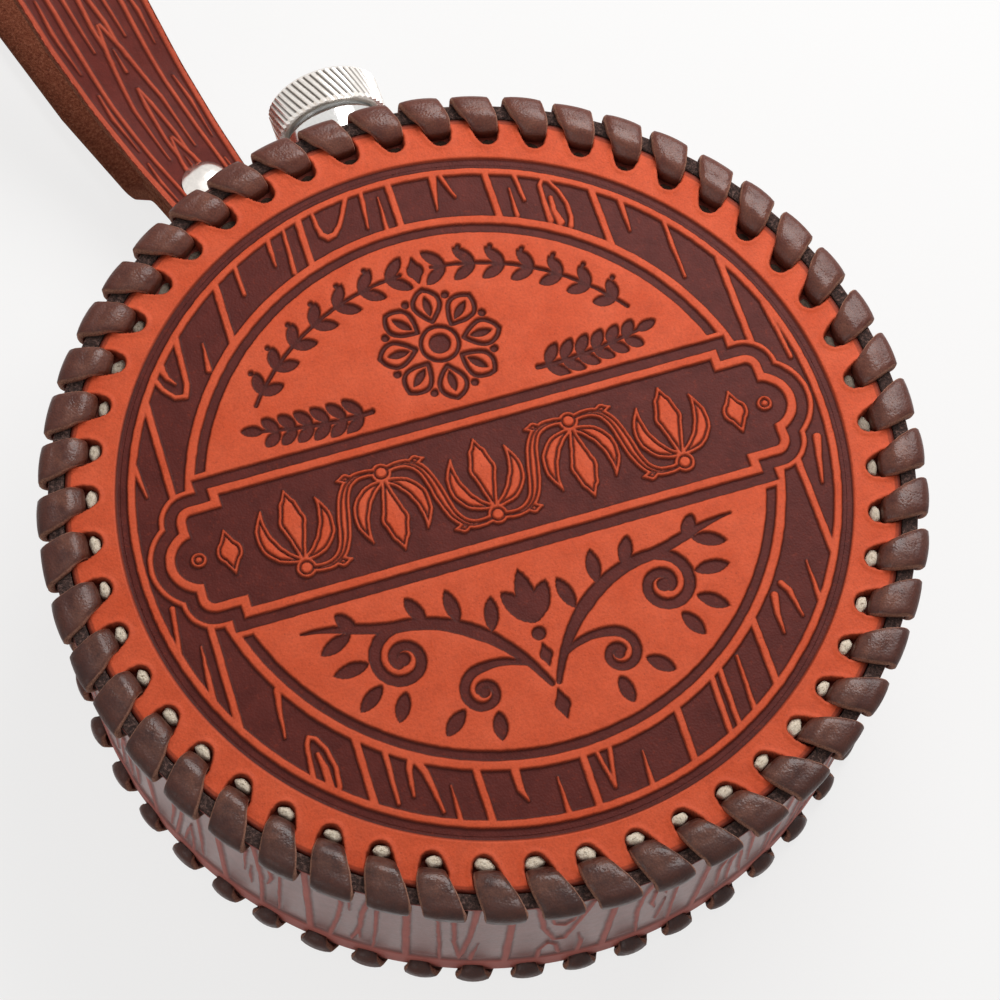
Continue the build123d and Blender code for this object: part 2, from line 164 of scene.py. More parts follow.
def new_object(name, verts, faces, attributes=None):
    """Mesh object in metres from millimetre points, with float attributes per point."""
    mesh = bpy.data.meshes.new(name)
    verts = np.asarray(verts, float) * MM
    faces = np.asarray(faces, int)
    mesh.vertices.add(len(verts))
    mesh.vertices.foreach_set("co", verts.ravel())
    size = faces.shape[1]
    mesh.loops.add(faces.size)
    mesh.loops.foreach_set("vertex_index", faces.ravel())
    mesh.polygons.add(len(faces))
    mesh.polygons.foreach_set("loop_start", np.arange(len(faces)) * size)
    mesh.polygons.foreach_set("loop_total", np.full(len(faces), size))
    mesh.update(calc_edges=True)
    mesh.validate()
    for key, values in (attributes or {}).items():
        layer = mesh.attributes.new(key, "FLOAT", "POINT")
        layer.data.foreach_set("value", np.asarray(values, np.float32))
    obj = bpy.data.objects.new(name, mesh)
    bpy.context.scene.collection.objects.link(obj)
    mesh.shade_smooth()
    return obj


def grid_faces(rows, cols, wrap_cols=False, wrap_rows=False, flip=False):
    """Four-sided faces of a grid of points, closed in a ring where asked."""
    i = np.arange(rows if wrap_rows else rows - 1)
    j = np.arange(cols if wrap_cols else cols - 1)
    ii, jj = np.meshgrid(i, j, indexing="ij")
    i2 = (ii + 1) % rows
    j2 = (jj + 1) % cols
    quad = [ii * cols + jj, ii * cols + j2, i2 * cols + j2, i2 * cols + jj]
    faces = np.stack(quad, -1).reshape(-1, 4)
    return faces[:, ::-1] if flip else faces


def turned_over(points):
    """Points of the front face, turned half round to the back face."""
    p = np.array(points, float)
    p[:, 0] = -p[:, 0]
    p[:, 2] = DEPTH - p[:, 2]
    return p


def flip_over(obj):
    """Turn a front piece into the same piece of the back."""
    co = np.empty(len(obj.data.vertices) * 3)
    obj.data.vertices.foreach_get("co", co)
    obj.data.vertices.foreach_set("co", (turned_over(co.reshape(-1, 3) / MM) * MM).ravel())
    obj.data.update()


def outward(obj):
    """Make all normals of a closed piece point out."""
    bm = bmesh.new()
    bm.from_mesh(obj.data)
    bmesh.ops.recalc_face_normals(bm, faces=bm.faces)
    bm.to_mesh(obj.data)
    bm.free()


# The front face's tooling

design_centre = (0.25, 0.2)
design_turn = radians(-1.42)
outer_ring = (60.0, 62.0)
stave_ring = (50.5, 58.7)
inner_ring = (47.2, 48.9)
plank = 17.13
plank_shift = 0.3
line_half = 0.62
panel_length = 43.75
panel_height = 10.4
step_length = 50.2
step_height = 8.1
step_corner = 1.2
lobe_centre = 49.5
lobe_radius = 4.26
inner_line = 1.57
dark_band = 3.62
outer_line = 4.48
field_radius = 46.4
field_gap = 0.8
ring_gap = 1.0
frieze_line_inset = 0.62
frieze_line_half = 0.15
hand_wobble = 0.05
wobble_rate = 0.9


def plaque(u, v):
    """Distance outside the stepped and lobed plaque across the middle."""
    au = np.abs(u)
    av = np.abs(v)
    tall = np.maximum(au - panel_length, av - panel_height)
    du = au - (step_length - step_corner)
    dv = av - (step_height - step_corner)
    step = np.hypot(np.maximum(du, 0), np.maximum(dv, 0)) + np.minimum(np.maximum(du, dv), 0) - step_corner
    lobe = np.hypot(au - lobe_centre, v) - lobe_radius
    return np.minimum(np.minimum(tall, step), lobe)


def band(r, limits):
    """Signed distance to a ring between two radii."""
    return np.maximum(limits[0] - r, r - limits[1])


ring_marks = [
    ([(-30.0, -40.5), (-30.3, -49.2)], [0.5, 0.3]),
    ([(-26.2, -42.4), (-27.1, -44.3), (-27.6, -48.7)], [0.65, 0.5, 0.25]),
    ([(-25.6, -43.2), (-24.7, -45.5), (-23.8, -52.6)], [0.7, 0.6, 0.25]),
    ([(-21.4, -48.8), (-21.7, -56.0)], [0.12, 0.5]),
    ([(-10.9, -49.4), (-11.0, -52.5), (-10.3, -54.8)], [0.75, 0.6, 0.15]),
    ([(-4.7, -52.4), (-4.7, -59.0)], [0.12, 0.5]),
    ([(2.6, -50.2), (3.75, -56.6)], [0.36, 0.28]),
    ([(4.9, -50.2), (3.75, -56.6)], [0.42, 0.28]),
    ([(9.8, -52.3), (9.5, -58.8)], [0.12, 0.5]),
    ([(24.7, -43.0), (24.5, -54.5)], [0.5, 0.5]),
    ([(26.4, -43.0), (26.3, -53.0)], [0.45, 0.45]),
    ([(29.9, -41.5), (29.6, -51.3)], [0.25, 0.45]),
    ([(39.5, -33.3), (38.9, -36.5), (38.8, -40.0)], [0.6, 0.45, 0.2]),
    ([(41.3, -31.6), (42.2, -33.2), (42.8, -38.0)], [0.5, 0.5, 0.2]),
    ([(46.8, -29.0), (46.5, -36.6)], [0.12, 0.5]),
    ([(56.4, -8.4), (55.4, -12.0), (54.3, -16.6)], [0.7, 0.5, 0.2]),
    ([(56.2, 18.0), (56.9, 12.0), (57.3, 7.0)], [0.5, 0.4, 0.35]),
    ([(-56.2, -7.0), (-56.5, -9.5), (-57.1, -15.5)], [0.45, 0.4, 0.35]),
    ([(-53.4, -14.6), (-53.7, -20.0), (-53.9, -25.2)], [0.12, 0.45, 0.5]),
    ([(-43.6, -25.4), (-44.1, -28.0), (-44.6, -33.4)], [0.6, 0.45, 0.2]),
    ([(-42.2, -42.8), (-41.9, -38.5), (-41.6, -35.6), (-41.0, -34.5), (-40.0, -35.0), (-38.8, -37.2),
      (-38.2, -40.5), (-38.5, -43.8), (-39.4, -45.6)], [0.5, 0.4, 0.4, 0.38, 0.38, 0.38, 0.4, 0.42, 0.5]),
    ([(-40.3, -37.6), (-39.9, -40.5), (-39.9, -44.6)], [0.35, 0.6, 0.65]),
    ([(8.5, 59.2), (8.0, 56.0), (7.3, 51.7)], [0.8, 0.55, 0.15]),
    ([(9.6, 58.6), (10.2, 56.2), (11.1, 53.3)], [0.4, 0.38, 0.25]),
    ([(20.8, 52.2), (20.5, 46.6)], [0.15, 0.42]),
    ([(22.3, 55.2), (22.7, 49.3)], [0.45, 0.3]),
    ([(25.8, 44.0), (25.9, 48.5), (26.1, 51.3), (26.9, 52.3), (27.8, 51.6), (28.9, 49.5), (29.6, 46.5),
      (29.5, 43.6), (28.9, 42.0)], [0.55, 0.4, 0.42, 0.36, 0.36, 0.36, 0.38, 0.4, 0.5]),
    ([(27.2, 48.4), (27.0, 45.8), (27.4, 43.2)], [0.4, 0.5, 0.7]),
    ([(38.8, 45.0), (38.7, 41.0), (38.6, 38.2)], [0.55, 0.4, 0.2]),
    ([(44.9, 39.0), (44.8, 33.0), (44.9, 26.9)], [0.35, 0.4, 0.25]),
    ([(-2.0, 57.0), (-2.3, 50.2)], [0.12, 0.42]),
    ([(-4.7, 59.0), (-4.9, 56.0), (-5.4, 51.6)], [0.45, 0.4, 0.22]),
    ([(-14.1, 57.8), (-13.9, 54.5), (-13.6, 52.6), (-12.6, 51.7), (-11.4, 52.0), (-10.2, 53.3),
      (-8.9, 55.6), (-7.5, 58.6)], [0.3, 0.4, 0.5, 0.6, 0.5, 0.42, 0.4, 0.45]),
    ([(-19.8, 56.6), (-19.9, 51.0), (-20.1, 46.8)], [0.3, 0.38, 0.45]),
    ([(-22.9, 55.0), (-22.9, 51.5), (-22.9, 49.0)], [0.45, 0.4, 0.2]),
    ([(-29.8, 51.0), (-29.6, 45.2)], [0.42, 0.35]),
    ([(-38.9, 38.2), (-39.2, 33.0)], [0.12, 0.5]),
    ([(-43.1, 41.8), (-43.3, 36.0), (-43.5, 31.5), (-44.2, 29.3), (-46.0, 29.6), (-47.6, 31.6),
      (-48.8, 34.4)], [0.6, 0.5, 0.5, 0.45, 0.42, 0.4, 0.5]),
    ([(-46.9, 37.4), (-46.8, 34.8), (-46.3, 33.4), (-45.3, 32.1)], [0.65, 0.55, 0.4, 0.2]),
    ([(-56.0, 21.5), (-55.6, 17.0), (-55.2, 13.4)], [0.5, 0.4, 0.2]),
]


def ring_grain():
    """Board joints and grain marks of the ring, in the front face's own directions."""
    reach = outer_ring[0]
    places = [k * plank + plank_shift for k in range(-3, 4)]
    joints = [([(u, -reach), (u, reach)], line_half) for u in places]
    return joints + ring_marks


def field_ornament():
    """Engraved garland, flower, sprigs and scrolls of the two orange fields."""
    cut = []
    # garland along the upper edge
    half = []
    garland = 41.2
    arc = [(garland * sin(radians(a)), garland * cos(radians(a))) for a in range(4, 56, 2)]
    half.append((arc, 0.36))
    for k in range(7):
        a = 7.5 + 7.2 * k
        base = (garland * sin(radians(a)), garland * cos(radians(a)))
        size = 5.0 - 0.15 * k
        back_along = 180 - a
        half.append(leaf(base, back_along + 42, size, 1.12))
        half.append(leaf(base, back_along - 38, size, 1.12))
        if k:
            berry = radians(a - 3.6)
            half.append(dot((garland + 3.3) * sin(berry), (garland + 3.3) * cos(berry), 0.5))
    # sprigs either side of the flower
    half.append(sweep((14.8, 17.6), (20, 17.2), (27, 18), (34.2, 19.6), (0.5, 0.35)))
    for k in range(6):
        x = 16.4 + 2.9 * k
        y = 17.5 + 0.1 * k + 0.012 * (x - 16) ** 1.5
        size = 4.4 - 0.2 * k
        half.append(leaf((x, y + 0.2), 50, size, 1.1))
        half.append(leaf((x, y - 0.2), -36, size, 1.1))
    half.append(leaf((33.4, 19.4), 14, 3.8, 1.0))
    cut += half + mirrored(half)
    cut.append(diamond(0, garland, 2.6, 1.5))
    # flower
    heart = (0.0, 26.6)
    cut.append(dot(*heart, 1.9))
    ring = [(heart[0] + 3.3 * cos(t), heart[1] + 3.3 * sin(t)) for t in np.linspace(0, 2 * pi, 33)]
    cut.append((ring, 0.36))
    for k in range(8):
        a = 45 * k
        ca, sa = cos(radians(a)), sin(radians(a))
        for side in (-1, 1):
            outline = []
            for t in np.linspace(0, 1, 13):
                out = 4.3 + 6.4 * t
                off = side * 2.35 * sin(pi * t ** 1.25) ** 0.75
                outline.append((heart[0] + out * ca - off * sa, heart[1] + out * sa + off * ca))
            cut.append((outline, 0.42))
        cut.append(leaf((heart[0] + 5.4 * ca, heart[1] + 5.4 * sa), a, 3.9, 0.75))
        ca, sa = cos(radians(a + 22.5)), sin(radians(a + 22.5))
        cut.append(dot(heart[0] + 9.4 * ca, heart[1] + 9.4 * sa, 0.72))
    # scrolls of the lower field
    half = []
    half.append(sweep((0.6, -37.2), (4.5, -28), (13, -20.6), (22.6, -20.6), (0.5, 1.25, 1.05)))
    half.append(volute((22.6, -26.2), 5.6, 1.2, 90, -400, 1.05, 0.8))
    half.append(dot(22.6, -26.2, 1.25))
    half.append(sweep((2.8, -33.0), (6, -31.2), (9, -30.8), (12.2, -31.6), (0.5, 0.9)))
    half.append(volute((11.6, -35.4), 3.85, 0.9, 81, -330, 0.9, 0.65))
    half.append(dot(11.6, -35.4, 1.0))
    half.append(sweep((20.5, -20.7), (27, -20.2), (31, -17.6), (37.4, -17.4), (0.95, 0.9, 0.2)))
    for at, a, size in (((7.2, -25.9), 104, 6.0), ((12.0, -22.8), 84, 6.0), ((17.2, -21.2), 66, 5.4),
                        ((28.6, -19.6), 58, 4.6), ((29.6, -19.6), -22, 6.0), ((28.2, -25.4), -4, 6.0),
                        ((27.2, -29.6), -36, 5.6), ((23.8, -31.8), -62, 5.2), ((15.6, -37.4), -40, 5.2),
                        ((10.4, -39.3), -80, 4.8)):
        half.append(leaf(at, a, size, 1.25))
    cut += half + mirrored(half)
    for a, size in ((90, 9.6), (60, 7.6), (120, 7.6)):
        cut.append(leaf((0, -26.4), a, size, 1.7))
    cut.append(dot(0, -28.4, 1.2))
    cut.append(diamond(0, -32.2, 2.0, 1.1))
    cut.append(diamond(0, -41.0, 2.6, 1.3))
    return cut


def panel_ornament():
    """Raised frieze of the plaque: lilies, turned up and down, on a running stem."""
    up = []
    cell = 16.6
    for k in range(-2, 3):
        x = cell * k
        s = 1 if k % 2 == 0 else -1
        bud = [(x, y * s) for y in (-4.6, -1.5, 2.2, 5.0, 8.0)]
        up.append((bud, [0.5, 1.3, 2.35, 1.6, 0.1]))
        for side in (-1, 1):
            up.append(sweep((x + side * 0.9, -4.6 * s), (x + side * 4.6, -3.4 * s),
                            (x + side * 6.6, 0.4 * s), (x + side * 4.7, 5.4 * s), (0.6, 1.3, 1.5, 1.1, 0.12)))
        up.append(dot(x, -6.4 * s, 1.7))
        if k < 2:
            up.append(sweep((x + 1.2, -6.8 * s), (x + 12, -9.4 * s),
                            (x + cell - 12, 9.4 * s), (x + cell - 1.2, 6.8 * s), (0.7, 1.15, 0.7), 24))
            for side in (-1, 1):
                at = (x + cell / 2 + side * 2.2, side * s * 7.0)
                up.append(([(at[0] - 1.5, at[1]), at, (at[0] + 1.5, at[1])], [0.2, 0.95, 0.2]))
    for side in (-1, 1):
        up.append(diamond(side * 44.6, 0, 4.0, 2.2))
        up.append(dot(side * 49.9, 0, 1.3))
    return up


def tooling(x, y):
    """Signed distance to the pressed and dyed areas: negative inside them."""
    x = x - design_centre[0]
    y = y - design_centre[1]
    c, s = cos(design_turn), sin(design_turn)
    u = x * c + y * s
    v = -x * s + y * c
    u = u + hand_wobble * wobble(u * wobble_rate, v * wobble_rate)
    v = v + hand_wobble * wobble(v * wobble_rate + 31, u * wobble_rate + 17)
    r = np.hypot(u, v)
    p = plaque(u, v)
    grain = strokes_field(u, v, ring_grain())
    staves = np.maximum(np.maximum(band(r, stave_ring), -grain), outer_line - p)
    dark_ring = np.maximum(band(r, inner_ring), dark_band + ring_gap - p)
    outline = np.maximum(inner_line - p, p - dark_band)
    raised = strokes_field(u, v, panel_ornament())
    inline = np.maximum(p, np.abs(raised + frieze_line_inset) - frieze_line_half)
    panel = np.minimum(np.maximum(p, -raised), inline)
    field = np.maximum(strokes_field(u, v, field_ornament()), r - field_radius)
    field = np.maximum(field, dark_band + field_gap - p)
    return np.minimum.reduce([staves, dark_ring, outline, panel, field, band(r, outer_ring)])


def recess(cut, soft=0.16):
    """Height drop, dye and edge of a pressed area from its signed distance."""
    dye_soft = soft * 0.75
    dye_inset = 0.02
    edge_inset = 0.12
    edge_width = 0.22
    drop = smooth(soft, -soft, cut)
    dye = smooth(dye_soft, -dye_soft, cut + dye_inset)
    # the edge mask is a dark line inside each pressed area's border, partly dye pooled in the cut, partly
    # painted shade on the step
    edge = np.exp(-((cut + edge_inset) / edge_width) ** 2)
    return drop, dye, edge


seam_radius = 61.05
face_step = 0.195
swell_height = 0.05
swell_rate = 0.09
crown_height = 0.07
crown_reach = 2.2


def face_quarter(name, side_x, side_y):
    """One quarter of the tooled field as a fine square mesh trimmed to the seam circle."""
    step = face_step
    n = int(seam_radius / step) + 2
    cols = np.sort(side_x * np.arange(0, n + 1) * step)
    rows = np.sort(side_y * np.arange(0, n + 1) * step)
    x, y = np.meshgrid(cols, rows)
    x = x.ravel()
    y = y.ravel()
    r = np.hypot(x, y)
    snapped_share = 0.55
    kept_share = 0.75
    over = r > seam_radius - step * snapped_share
    keep = r < seam_radius + step * kept_share
    scale = np.where(over, seam_radius / np.maximum(r, 1e-6), 1)
    x = x * scale
    y = y * scale
    cut = tooling(x, y)
    drop, dye, edge = recess(cut)
    flatter = 1 - smooth(0, 46, np.hypot(x, y)) * 0.2
    crown = crown_height * smooth(0, crown_reach, cut) * flatter
    puff = swell_height * swell(x * swell_rate, y * swell_rate) + crown
    z = DEPTH - EMBOSS * drop + puff * (1 - drop) - SETTLE
    faces = grid_faces(len(rows), len(cols))
    faces = faces[keep[faces].all(1)]
    used = np.unique(faces)
    remap = np.full(len(x), -1)
    remap[used] = np.arange(len(used))
    verts = np.stack([x, y, z], -1)[used]
    return new_object(name, verts, remap[faces], {"dye": dye[used], "edge": edge[used]})


def hand_shift(angle):
    """How far out of round, in millimetres, the hand-punched holes lie at an azimuth in degrees."""
    return PUNCH_DRIFT * np.cos(np.radians(angle - VIEW_ANGLE))


# the teardrop of a lacing hole: points out from the flask's axis and across, and half widths
hole_shape = ([(66.3, -2.95), (67.2, -2.75), (68.4, -2.35)], [1.65, 2.0, 2.2])
hole_depth = 2.9
lip_height = 0.18
lip_place = 0.5
lip_width = 0.42
# the disc's turned edge and underside: radius, and drop below the rim's top
disc_edge = [(69.9, 0.04), (70.12, 0.14), (DISC_R, 0.4), (DISC_R, 1.4), (69.4, 1.6), (60.0, 3.0)]
rim_drop = 0.05
rim_flat_to = 69.6
seam_lap = 0.06


def hole_cut(x, y):
    """Signed distance to the nearest lacing hole."""
    a = np.degrees(np.arctan2(y, x))
    r = np.hypot(x, y) - hand_shift(a)
    k = np.round((a - FIRST_STITCH + HOLE_LAG) / PITCH)
    local = np.radians(a - FIRST_STITCH - k * PITCH)
    lx = r * np.cos(local)
    ly = r * np.sin(local)
    return strokes_field(lx, ly, [hole_shape])


def face_rim(name, cut_ring=None):
    """Disc rim with its punched lacing holes, turned edge and underside."""
    turns = STITCHES * 30
    flat_rows = 35
    flat_radii = np.linspace(seam_radius - seam_lap, rim_flat_to, flat_rows)
    radii = np.concatenate([flat_radii, [rad for rad, below in disc_edge]])
    a = np.linspace(0, 2 * pi, turns, endpoint=False)
    rr, aa = np.meshgrid(radii, a, indexing="ij")
    x = (rr * np.cos(aa)).ravel()
    y = (rr * np.sin(aa)).ravel()
    hole = hole_cut(x, y)
    drop = smooth(0.16, -0.2, hole)
    lip = lip_height * np.exp(-((hole - lip_place) / lip_width) ** 2)
    if cut_ring is None:
        dx = x - design_centre[0]
        dy = y - design_centre[1]
        cut = band(np.hypot(dx, dy), outer_ring)
    else:
        cut = cut_ring(x, y)
    press, dye, edge = recess(cut)
    past_ring = smooth(61.4, 62.8, np.hypot(x, y))
    settle = swell_height * (swell(x * swell_rate, y * swell_rate) - 1) * past_ring
    top = DEPTH - SETTLE - EMBOSS * press + lip + settle
    row = np.repeat(np.arange(len(radii)), turns)
    for k, (rad, below) in enumerate(disc_edge):
        top = np.where(row == flat_rows + k, DEPTH - rim_drop - below, top)
    z = np.where(row < flat_rows, top - hole_depth * drop, top)
    # inside and round each hole the leather is darkened: partly dye taken up by the punched edge, partly
    # painted shade in the hole
    dye = np.where(row >= flat_rows, 0.75, np.maximum(dye, smooth(0.1, -0.3, hole)))
    dye = np.maximum(dye, 0.45 * smooth(0.45, 0.0, hole))
    edge = np.maximum(edge, np.exp(-(hole / 0.3) ** 2))
    edge = np.where(row >= flat_rows - 2, 0.8, edge)
    faces = grid_faces(len(radii), turns, wrap_cols=True, flip=True)
    return new_object(name, np.stack([x, y, z], -1), faces, {"dye": dye, "edge": edge})


face_parts = [face_quarter("front_tooling_%d" % (k + 1), sx, sy)
              for k, (sx, sy) in enumerate(((1, 1), (-1, 1), (-1, -1), (1, -1)))]
front_rim = face_rim("front_rim")


# Back disc: plain leather with one pressed ring

back_ring = (57.8, 59.0)


def back_face():
    """Rim and field of the back disc."""
    rim = face_rim("back_rim", lambda x, y: band(np.hypot(x, y), back_ring))
    flip_over(rim)
    radii = np.concatenate([[0.0], np.linspace(2, 56, 50), np.linspace(56.4, 60.4, 22), [seam_radius]])
    turns = 360
    a = np.linspace(0, 2 * pi, turns, endpoint=False)
    rr, aa = np.meshgrid(radii, a, indexing="ij")
    x = (rr * np.cos(aa)).ravel()
    y = (rr * np.sin(aa)).ravel()
    drop, dye, edge = recess(band(np.hypot(x, y), back_ring))
    z = DEPTH - SETTLE - EMBOSS * drop
    verts = turned_over(np.stack([x, y, z], -1))
    faces = grid_faces(len(radii), turns, wrap_cols=True, flip=True)
    return rim, new_object("back_field", verts, faces, {"dye": dye, "edge": edge})


back_rim, back_field = back_face()


# Side wall: one strip of plank-tooled leather

# each board's marks as points across and up the board, and half widths
board_marks = [
    [([(7.8, 41), (6.5, 25), (4.3, 10)], [0.5, 0.45, 0.2]),
     ([(9.5, 34), (7.5, 20), (5.3, 7)], [0.3, 0.45, 0.4]),
     ([(7.5, 9), (9.0, 17), (10.4, 24.5)], [0.25, 0.35, 0.2]),
     ([(10.4, 24.5), (10.2, 15), (9.5, 6)], [0.2, 0.35, 0.4]),
     ([(12.9, 36), (12.5, 20), (12.0, 9)], [0.4, 0.4, 0.2])],
    [([(5.8, 37), (4.8, 22)], [0.4, 0.15]),
     ([(6.3, 27.5), (5.9, 21), (5.8, 15.5)], [0.12, 0.38, 0.1]),
     ([(7.6, 43), (8.2, 25), (7.5, 6)], [0.55, 0.5, 0.4]),
     ([(9.7, 40), (10.4, 28), (9.2, 21.5)], [0.5, 0.45, 0.12]),
     ([(12.3, 36), (11.5, 20), (11.0, 8)], [0.25, 0.35, 0.25])],
    [([(5.6, 36), (5.9, 31), (5.1, 20), (3.5, 6)], [0.3, 0.42, 0.4, 0.45]),
     ([(7.2, 38), (7.3, 27.5)], [0.38, 0.1]),
     ([(11.3, 43), (9.5, 30), (9.0, 18), (7.5, 8.5)], [0.55, 0.5, 0.45, 0.3]),
     ([(9.0, 18), (8.9, 10.5)], [0.3, 0.2]),
     ([(12.1, 38), (11.7, 20), (11.3, 6)], [0.4, 0.35, 0.3])],
    [([(4.9, 37), (5.5, 20), (5.9, 6)], [0.3, 0.36, 0.3]),
     ([(7.5, 37), (8.0, 20), (9.0, 9.5)], [0.4, 0.4, 0.4]),
     ([(11.1, 43), (10.5, 25), (9.5, 12), (9.0, 8)], [0.6, 0.5, 0.5, 0.3]),
     ([(12.0, 18.5), (11.3, 12), (11.0, 7.5)], [0.1, 0.4, 0.5])],
    [([(4.0, 43), (5.5, 28), (7.8, 18.6), (9.6, 18.4), (10.8, 26), (12.2, 36), (13.0, 42)],
      [0.6, 0.5, 0.42, 0.42, 0.45, 0.5, 0.5]),
     ([(6.2, 37), (7.2, 30), (9.0, 28.2), (10.4, 31), (10.8, 37)], [0.35, 0.32, 0.4, 0.3, 0.3]),
     ([(5.6, 4), (5.5, 12), (6.8, 16.6), (8.2, 14.5), (9.2, 8)], [0.5, 0.42, 0.38, 0.42, 0.4]),
     ([(12.0, 19), (12.8, 13), (12.5, 4)], [0.1, 0.45, 0.5])],
    [([(6.2, 41), (5.0, 33), (5.0, 22), (6.2, 7)], [0.6, 0.5, 0.45, 0.3]),
     ([(7.4, 33), (7.2, 26), (8.4, 20.5)], [0.4, 0.42, 0.12]),
     ([(8.8, 35), (9.5, 29)], [0.32, 0.2]),
     ([(9.9, 24), (9.6, 17), (9.4, 11)], [0.15, 0.36, 0.2]),
     ([(11.5, 34), (11.7, 20), (12.3, 6.5)], [0.35, 0.42, 0.4])],
    [([(4.5, 31), (3.5, 24), (4.2, 15), (4.8, 10)], [0.4, 0.45, 0.4, 0.2]),
     ([(6.2, 33), (5.8, 24), (6.5, 14), (7.2, 9)], [0.5, 0.45, 0.4, 0.2]),
     ([(6.5, 32), (8.0, 24), (9.0, 14), (10.2, 8)], [0.35, 0.35, 0.35, 0.3]),
     ([(7.2, 42), (9.0, 34), (10.0, 24), (11.0, 14)], [0.55, 0.5, 0.4, 0.2]),
     ([(13.6, 29), (15.0, 18), (15.6, 10)], [0.4, 0.35, 0.2])],
]
boards = 27
first_board = 15
first_joint = 1.69
wall_recess = 0.42
wall_settle = 0.03
# the boards stop above the wall's foot and just below its top
boards_from = 6.6
boards_to = DEPTH - 0.9
tooled_from = 0.25
wall_wobble = 0.10


def wall_grain():
    """Board joints and grain marks around the wall, measured on the boards that show."""
    width = 2 * pi * WALL_R / boards
    strokes = []
    for k in range(-1, boards + 1):
        u = first_joint + k * width
        strokes.append(([(u, 0), (u + 0.2 * sin(k), DEPTH)], 0.66))
        turn, cell = divmod(k - first_board, len(board_marks))
        for points, widths in board_marks[cell]:
            if turn % 2:
                points = [(width - x, z) for x, z in points]
            strokes.append(([(u + x, z) for x, z in points], widths))
    return strokes


def side_wall(name, start, end):
    """One stretch of the wall between two azimuths in degrees, tooled outside, rough at its cut edges."""
    turns = 621
    heights = np.linspace(tooled_from, DEPTH - tooled_from, 96)
    a = np.radians(np.linspace(start, end, turns))
    hh, aa = np.meshgrid(heights, a, indexing="ij")
    u = (aa * WALL_R).ravel() % (2 * pi * WALL_R)
    v = hh.ravel()
    wu = u + wall_wobble * wobble(u * 0.5, v * 0.5)
    wv = v + wall_wobble * wobble(v * 0.5 + 9, u * 0.5 + 5)
    raised = strokes_field(wu, wv, wall_grain())
    raised = np.minimum(raised, np.minimum(wv - boards_from, boards_to - wv))
    drop, dye, edge = recess(-raised, soft=0.2)
    r = WALL_R - wall_recess * drop - wall_settle
    flat = np.full(turns, 1.0)
    around = a % (2 * pi)
    rough = 0.3 * wobble(around * 83, around * 7) + 0.22 * wobble(around * 175, around * 3)
    upper = [(WALL_R - 0.18, DEPTH - 0.1), (WALL_R - 0.5, DEPTH), (WALL_IN + 0.5, DEPTH),
             (WALL_IN + 0.03, DEPTH - 0.2)]
    lower = [(rad, DEPTH - z) for rad, z in reversed(upper)]
    rest = upper + [(WALL_IN, MID)] + lower
    radii = [r]
    heights_up = [v]
    angles = [aa.ravel()]
    dyes = [dye]
    edges = [edge]
    cuts = [np.zeros(len(v))]
    for k, (rad, z) in enumerate(rest):
        push = rough * (1 if k in (1, 2, 6, 7) else 0.3)
        radii.append(rad * flat)
        heights_up.append(z - np.sign(z - MID) * np.abs(push) * 0.8)
        angles.append(a)
        dyes.append(flat)
        edges.append(flat * 0)
        cuts.append(flat)
    r, z, angle = (np.concatenate(part) for part in (radii, heights_up, angles))
    verts = np.stack([r * np.cos(angle), r * np.sin(angle), z], -1)
    faces = grid_faces(len(heights) + len(rest), turns, wrap_rows=True)
    attributes = {"dye": np.concatenate(dyes), "edge": np.concatenate(edges), "cut": np.concatenate(cuts)}
    return new_object(name, verts, faces, attributes)


wall_parts = [side_wall("side_wall_tooled_%d" % (k + 1), 90 + 120 * k, 210 + 120 * k) for k in range(3)]


# Lacing

def lace_section(n_flat=7):
    """Rounded band section: share across, share of thickness, and 1 on the cut edges."""
    section = []
    top = np.linspace(-1, 1, n_flat)
    for s in top:
        section.append((s * 0.9, 0.5, 0.0))
    section += [(0.97, 0.36, 1.0), (1.0, 0.1, 1.0), (1.0, -0.36, 0.5)]
    for s in (1, 0, -1):
        section.append((s * 0.95, -0.5, 0.0))
    section += [(-1.0, -0.36, 0.5), (-1.0, 0.1, 1.0), (-0.97, 0.36, 1.0)]
    return np.array(section)


def rounded_path(points, radii, step=0.35):
    """Dense points along a bent line whose corners are rounded."""
    pts = [np.array(p, float) for p in points]
    out = [pts[0]]
    for k in range(1, len(pts) - 1):
        a, b, c = pts[k - 1], pts[k], pts[k + 1]
        d1 = (a - b) / np.linalg.norm(a - b)
        d2 = (c - b) / np.linalg.norm(c - b)
        half = np.arccos(np.clip(d1 @ d2, -1, 1)) / 2
        r = radii[k - 1]
        tangent = r / np.tan(half)
        start = b + d1 * tangent
        end = b + d2 * tangent
        middle = b + (d1 + d2) / np.linalg.norm(d1 + d2) * (r / np.sin(half))
        n = max(2, int(np.ceil(r * (pi - 2 * half) / step)) + 1)
        for t in np.linspace(0, 1, n):
            ray = (start - middle) * (1 - t) + (end - middle) * t
            out.append(middle + ray / np.linalg.norm(ray) * r)
    out.append(pts[-1])
    dense = [out[0]]
    for p, q in zip(out[:-1], out[1:]):
        length = np.linalg.norm(q - p)
        if length < 1e-6:
            continue
        n = max(1, int(round(length / step)))
        for t in np.linspace(0, 1, n + 1)[1:]:
            dense.append(p * (1 - t) + q * t)
    return np.array(dense)


def normals_of(path):
    """Unit normals on the left of a path."""
    t = np.gradient(path, axis=0)
    t /= np.linalg.norm(t, axis=1)[:, None]
    return np.stack([-t[:, 1], t[:, 0]], -1)


# the lace's middle and half width along its way out from the hole
reach_places = [66.5, 67.6, 69.3, 70.7, 72.6, 74.5]
middle_places = [-2.85, -2.62, -1.95, -1.25, -0.42, 0.42]
half_places = [1.8, 2.2, 2.85, 3.25, 3.45, 3.5]
# where the lace comes up through its hole, where it folds over the wall and where it enters its slot
lace_up = 67.75
lace_fold = 73.95
lace_slot = 41.7


